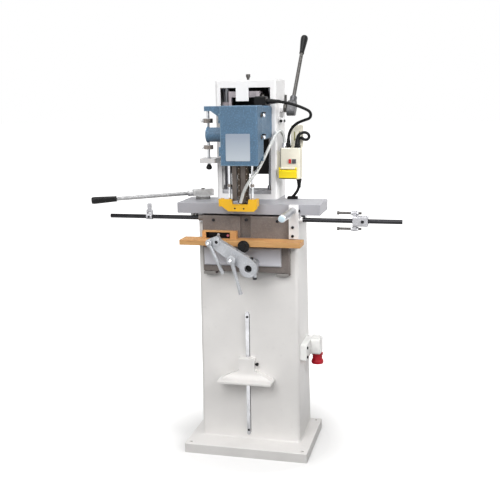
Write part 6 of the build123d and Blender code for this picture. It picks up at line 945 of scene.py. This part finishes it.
def add_clamp_pad():
    """The black rubber pad on its stem, and a black disc on the short post's end that paints shade deep in
    the arm's bore.
    """
    low, high = corners("clamp_pad")
    x = 15
    z = 924
    form = bmesh.new()
    lathe(form, [
        (0, -0.4), (12, 0.0), (20, 0.6), (23.4, 1.6), (24.8, 3.6), (24.6, 6), (23, 8.6), (20, 12.5), (17, 17),
        (15.2, 20.4), (14.6, 23), (14.4, 30.6), (0, 31),
    ], (x, high.y - 0.4, z), FRONT, 40)
    block(form, (x - 9.6, low.y + 0.1, low.z + 0.4), (x + 9.6, low.y + 8.8, z + 2), 2.5)
    pad = add_riding("rubber_pad", "arm", form, "rubber")
    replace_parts(pad, "clamp_pad")
    # Painted shade: a black disc darkens the bottom of the arm's bore.
    end = pivot("arm_pivot") + Vector((0, 5.8, 0))
    add_turned("bore_shade_disc", "stand", "rubber", [
        ([(14.4, -0.4), (14.4, 0.6), (13.6, 1.4), (10, 1.6), (0, 1.2)], end, FRONT),
    ])


def add_clamp_arm():
    """The arm's socket boss, its black pinch screws, and the cap nuts of its two levers."""
    boss = (-82, corners("clamp_arm")[0].y, 949)
    add_turned("arm_boss", "arm", "arm_alloy", [
        ([(16, -1), (16, 3), (15, 4.4), (12.5, 5), (7.6, 5), (7, 4.4), (7, 0.4), (0, 0.4)], boss, FRONT),
    ])
    add_screws("arm_socket", "arm", [(boss, FRONT, 6.6, 3.2)])
    hub = pivot("arm_pivot")
    add_screws("pinch_heads", "arm", [
        (hub + Vector((24, 0, -36)), DOWN, 9, 9), (hub + Vector((11, 0, 36)), UP, 8, 9),
    ])
    for name, body, joint, lever, radius, sink in (
        ("lever_nut", "arm_lever", "arm_lever_pivot", "clamp_lever", 9, 0),
        ("side_nut", "side_handle", "side_handle_pivot", "side_lever", 8, 0.5),
    ):
        place = pivot(joint)
        place.y = corners(lever)[0].y + sink
        form = bmesh.new()
        dome_nut(form, place, FRONT, radius)
        add_riding(name, body, form, "chrome")


def add_outlet_rim():
    """The rolled rim of the chip outlet."""
    mouth = (-138, -178, 1371)
    add_turned("outlet_rim", "head", "casing_blue", [
        ([(24.4, -0.8), (29.4, -1), (31.4, 0), (32, 2), (32, 5), (31, 7), (28.8, 8.4)], mouth, RIGHT),
    ], 48)


def add_cover_knobs():
    """Chrome knobs on dark stems that close the cover, and a small dark wing over each."""
    heads = []
    stems = []
    wings = []
    for low, high in islands("cover_knobs"):
        place = (low + high) / 2
        place.x = low.x
        reach = high.x - low.x
        half = 0.5 * reach
        stems.append((
            [(0, 0), (9.4, 0), (9.6, 1), (8.6, 3.4), (5, 4.6), (4.2, half), (0, half)], place, RIGHT,
        ))
        arc = [(0, 0.36 * reach)]
        for turn in range(165, 0, -15):
            angle = math.radians(turn)
            arc.append((half * math.sin(angle), reach - 0.62 * half * (1 + math.cos(angle))))
        heads.append((arc + [(0, reach)], place, RIGHT))
        wings.append((place + Vector((3, -4, 7)), place + Vector((reach + 2, 4, 13))))
    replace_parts(add_turned("knob_heads", "cover", "chrome", heads, 28), "cover_knobs")
    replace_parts(add_turned("knob_stems", "cover", "dark_steel", stems, 28), "cover_knobs")
    add_blocks("knob_wings", "cover", "black_steel", wings, 2.5)


def add_chain_rivets():
    """Domed rivet heads on the front of the chain's two runs."""
    centre = pivot("sprocket_spin").x
    front = corners("mortise_chain")[0].y
    run = 15.98
    start = 1100
    pitch = 22.6
    rows = 15
    rivet = [(0, 1), (1.3, 0.9), (2.3, 0.4), (2.6, -0.4), (0, -0.4)]
    rivets = []
    for step in range(rows):
        for x in (centre - run, centre + run):
            rivets.append((rivet, (x, front, start + pitch * step), FRONT))
    add_turned("chain_rivets", "head", "collar_steel", rivets, 10)


def guard_rods():
    """Where the guard's two rods stand."""
    return [((low + high) / 2).xy for low, high in islands("guard_rods")]


def add_guard_screws():
    """The guard's two front screws and the nuts at the foot of its rods."""
    low = corners("guard")[0]
    screws = [((x, low.y + 1, low.z + 12), FRONT, 3.4, 2.2) for x in (-24, 13)]
    add_screws("guard_screws", "guard", screws)
    foot = corners("guard_rods")[0].z + 0.2
    nuts = [((x, y, foot), UP, 9.2, 6.5, 5.1) for x, y in guard_rods()]
    add_nuts("guard_nuts", "guard", nuts, "steel_z")


def add_panel_screws():
    """Six screws along the back panel's two sides."""
    low, high = corners("back_panel")
    inset = 14
    places = []
    for x in (low.x + inset, high.x - inset):
        for z in (low.z + inset, (low.z + high.z) / 2, high.z - inset):
            places.append(((x, high.y, z), BACK, 6, 3))
    add_screws("panel_screws", "carriage", places, "steel_z")


def add_guard_collars():
    """The collars part way up the guard's rods."""
    height = 1160
    collar = [(5.1, 0), (8, 0), (8.6, 0.8), (8.6, 10.2), (8, 11), (5.1, 11)]
    collars = [(collar, (x, y, height), UP) for x, y in guard_rods()]
    add_turned("guard_collars", "guard", "collar_steel", collars)


GLAND_LENGTH = 18


def gland(place, axis):
    """A cable gland's nut and its tapered strain relief, for a gland end at a place."""
    return ([
        (8.6, -18), (11, -18), (11.4, -17, 6), (11.4, -11, 6), (11, -10), (9.4, -9.4, -18), (9.4, -2, -18),
        (8.8, 0), (8.2, 1.5), (7.8, 7), (7.2, 14), (6.7, 20), (6.1, 20),
    ], place, axis)


def add_glands():
    """The switch box's glands, the hose's metal one and the motor cable's strain relief."""
    parts = [gland(place, UP) for place in (MOTOR_CABLE_ROUTE[-1], LOOP_ROUTE[0], LOOP_ROUTE[-1])]
    supply = Vector(SUPPLY_ROUTE[0])
    supply.z = corners("switch_box")[0].z - GLAND_LENGTH
    parts.append(gland(supply, DOWN))
    add_turned("gland_nuts", "carriage", "black_plastic", parts)
    add_turned("hose_gland", "carriage", "steel_z", [(
        [(8.6, -18), (10.4, -18), (10.8, -17, 6), (10.8, -10, 6), (9.2, -9), (8.9, 0), (7.4, 3), (6.6, 3)],
        HOSE_ROUTE[0], UP,
    )])
    entry = Vector(MOTOR_CABLE_ROUTE[0]) + GLAND_LENGTH * Vector(RIGHT)
    add_turned("entry_relief", "head", "black_plastic", [gland(entry, RIGHT)])


# The switch box's lid: its left side and its front
LID_LEFT = 117
LID_FRONT = 32


def add_box_seam():
    """The seam round the switch box, the ring moulded on its front and its dark left edge."""
    low, high = corners("switch_box")
    near = LID_FRONT + 18
    far = near + 1.2
    add_blocks("box_seam", "carriage", "olive_plastic", [
        ((LID_LEFT - 0.3, near, low.z + 1), (LID_LEFT + 0.2, far, high.z - 1)),
        ((high.x - 0.2, near, low.z + 1), (high.x + 0.3, far, high.z - 1)),
        ((LID_LEFT + 1, near, high.z - 0.2), (high.x - 1, far, high.z + 0.3)),
        ((LID_LEFT + 1, near, low.z - 0.3), (high.x - 1, far, low.z + 0.2)),
    ], 0.1)
    place = (LID_LEFT + 41, LID_FRONT, high.z - 14)
    add_turned("box_ring", "carriage", "box_plastic", [
        ([(4.2, 0), (4.5, 0.7), (5.2, 1), (5.9, 0.7), (6.2, 0)], place, FRONT),
    ])
    add_blocks("box_edge", "carriage", "dark_button", [
        ((LID_LEFT - 0.4, LID_FRONT + 1, low.z + 2), (LID_LEFT + 0.4, LID_FRONT + 4, high.z - 2)),
    ], 0.2)


def add_button_bezel():
    """The frame round the two buttons, with a bar between them."""
    low, stop_high = corners("stop_button")
    start_low, high = corners("start_button")
    left = low.x - 3.5
    right = high.x + 3.5
    bottom = low.z - 2.5
    top = high.z + 2.5
    near = LID_FRONT - 1
    far = LID_FRONT + 0.6
    add_blocks("button_bezel", "carriage", "box_plastic", [
        ((left, near, high.z + 0.5), (right, far, high.z + 4)),
        ((left, near, low.z - 4), (right, far, low.z - 0.5)),
        ((left, near, bottom), (low.x - 0.6, far, top)),
        ((high.x + 0.6, near, bottom), (right, far, top)),
        ((stop_high.x + 0.4, near, bottom), (start_low.x - 0.4, far, top)),
    ], 0.6)


def add_flap_line():
    """The dark line along the yellow flap's lower edge."""
    low, high = corners("switch_flap")
    add_blocks("flap_line", "flap", "black_plastic", [
        ((low.x + 1, low.y - 0.3, low.z + 0.4), (high.x - 1, low.y + 1, low.z + 3.4)),
    ], 0.3)


def add_slot_inlays():
    """The two olive slots in the terminal cover."""
    low, high = corners("terminal_cover")
    width = 6
    near = low.y + 1.6
    far = high.y - 1
    bottom = low.z + 27
    top = high.z - 27
    add_blocks("slot_inlays", "carriage", "olive_plastic", [
        ((x, near, bottom), (x + width, far, top)) for x in (low.x + 12, high.x - 12 - width)
    ], 0.8)


def add_shaft_block():
    """The white block under the feed lever's shaft, with a screw in front and one at its side."""
    low = Vector((101, 72, 1402))
    high = Vector((124, 100, 1428))
    add_blocks("shaft_block", "carriage", "white_paint", [(low, high)], 3)
    centre = (low + high) / 2
    add_screws("shaft_screws", "carriage", [
        ((low.x + 12, low.y, centre.z), FRONT, 6.5, 5), ((high.x, centre.y, centre.z), RIGHT, 6, 4),
    ])


def add_hose_clamp():
    """A pale clamp ring on the hose with its screw."""
    path = spline_path("clamp_line", HOSE_ROUTE)
    near = Vector((55, -173, 1218)) * MM
    index = min(range(len(path)), key=lambda step: (path[step] - near).length)
    way = (path[index + 1] - path[index - 1]).normalized()
    side = way.orthogonal()
    place = path[index] / MM
    ring = [(6.4, -6), (7.6, -6), (8, -5.4), (7.5, -4.6), (7.5, 4.6), (8, 5.4), (7.6, 6), (6.4, 6)]
    screw = [(0, -5), (2.8, -5), (3, -4.4, 6), (3, 4.4, 6), (2.8, 5), (0, 5)]
    add_turned("hose_ring", "head", "pale_steel", [
        (ring, place, way), (screw, place + 9.4 * side, way.cross(side)),
    ])


def add_shelf_knob():
    """The black knob that clamps the shelf, with a grooved rim."""
    low, high = corners("shelf_knob")
    place = (low + high) / 2
    place.x = low.x
    reach = high.x - low.x
    radius = (high.y - low.y) / 2
    knob = add_turned("shelf_clamp", "rest", "black_plastic", [([
        (0, 0), (0.6 * radius, 0), (0.6 * radius, 0.3 * reach), (0.95 * radius, 0.36 * reach, -14),
        (radius, 0.45 * reach, -14), (radius, 0.86 * reach, -14), (0.9 * radius, 0.96 * reach),
        (0.6 * radius, reach), (0, reach),
    ], place, RIGHT)], 84)
    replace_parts(knob, "shelf_knob")


# Stage: world, floor, lights and camera
def seen_rays(tree):
    """1 for rays that the camera, a reflection or a clear part sends out."""
    path = add_node(tree, "LightPath", {})
    seen = path["Is Camera Ray"]
    for kind in ("Is Glossy Ray", "Is Transmission Ray"):
        seen = add_node(tree, "Math", {0: seen, 1: path[kind]}, operation="MAXIMUM")["Value"]
    return seen


def add_world():
    """Dim light from all sides, which is white where it is seen."""
    world = bpy.data.worlds.new("studio")
    SCENE.world = world
    world.use_nodes = True
    tree = world.node_tree
    tree.nodes.clear()
    ambient = add_node(tree, "Background", {"Color": AMBIENT_TINT, "Strength": AMBIENT})["Background"]
    white = add_node(tree, "Background", {"Color": WHITE, "Strength": 1.0})["Background"]
    both = add_node(tree, "MixShader", {"Fac": seen_rays(tree), 1: ambient, 2: white})["Shader"]
    add_node(tree, "OutputWorld", {"Surface": both})


def add_floor():
    """A pale floor that keeps a shadow near the machine and fades to white further out."""
    form = bmesh.new()
    bmesh.ops.create_grid(form, x_segments=1, y_segments=1, size=FLOOR_HALF)
    mesh = bpy.data.meshes.new("floor")
    form.to_mesh(mesh)
    form.free()
    floor = bpy.data.objects.new("floor", mesh)
    SCENE.collection.objects.link(floor)
    material = bpy.data.materials.new("floor_white")
    material.use_nodes = True
    tree = material.node_tree
    tree.nodes.clear()
    seen = seen_rays(tree)
    pale = spread(tree, seen, FLOOR_BOUNCE, FLOOR_GREY, 0.0, 1.0)
    diffuse = add_node(tree, "BsdfDiffuse", {"Color": pale})["BSDF"]
    distance = add_node(tree, "VectorMath", {0: coordinates(tree)}, operation="LENGTH")["Value"]
    share = spread(tree, distance, FLOOR_LIFT, FLOOR_LIFT_FAR, *SHADOW_REACH)
    lift = add_node(tree, "Math", {0: seen, 1: share}, operation="MULTIPLY")["Value"]
    glow = add_node(tree, "Emission", {"Strength": lift})["Emission"]
    both = add_node(tree, "AddShader", {0: diffuse, 1: glow})["Shader"]
    add_node(tree, "OutputMaterial", {"Surface": both})
    mesh.materials.append(material)


def add_lights():
    for name, place, size, watts, target, degrees in LAMPS:
        light = bpy.data.lights.new(name, "AREA")
        light.shape = "SQUARE"
        light.size = size
        light.energy = watts
        light.spread = math.radians(degrees)
        holder = bpy.data.objects.new(name, light)
        holder.location = place
        holder.rotation_euler = (target - place).to_track_quat("-Z", "Y").to_euler()
        SCENE.collection.objects.link(holder)


def add_camera():
    """The camera stands and looks as the photograph's did."""
    data = bpy.data.cameras.new("camera")
    data.sensor_width = SENSOR_WIDTH
    data.lens = CAMERA_LENS
    data.clip_end = CAMERA_REACH
    camera = bpy.data.objects.new("camera", data)
    turn = Matrix.Rotation(CAMERA_YAW, 4, "Z")
    lean = Matrix.Rotation(math.radians(90) + CAMERA_PITCH, 4, "X")
    roll = Matrix.Rotation(-CAMERA_ROLL, 4, "Z")
    camera.matrix_world = Matrix.Translation(CAMERA_PLACE) @ turn @ lean @ roll
    SCENE.collection.objects.link(camera)
    SCENE.camera = camera


def write_size():
    """Brings the view layer up to date."""
    bpy.context.view_layer.update()


SCENE.view_settings.view_transform = "Standard"
add_camera()
add_world()
add_floor()
add_lights()
make_finishes()
finish_nodes()
add_cords()
add_stand_screws()
add_feed_grip()
add_traverse_grip()
add_depth_stop()
add_inlet()
add_wood_pocket()
add_post_cap()
add_rail_lines()
add_fence_tabs()
add_foot_bead()
add_right_stop()
add_left_stop()
add_clamp_pad()
add_clamp_arm()
add_outlet_rim()
add_cover_knobs()
add_chain_rivets()
add_guard_screws()
add_panel_screws()
add_guard_collars()
add_glands()
add_box_seam()
add_button_bezel()
add_flap_line()
add_slot_inlays()
add_shaft_block()
add_hose_clamp()
add_shelf_knob()
write_size()
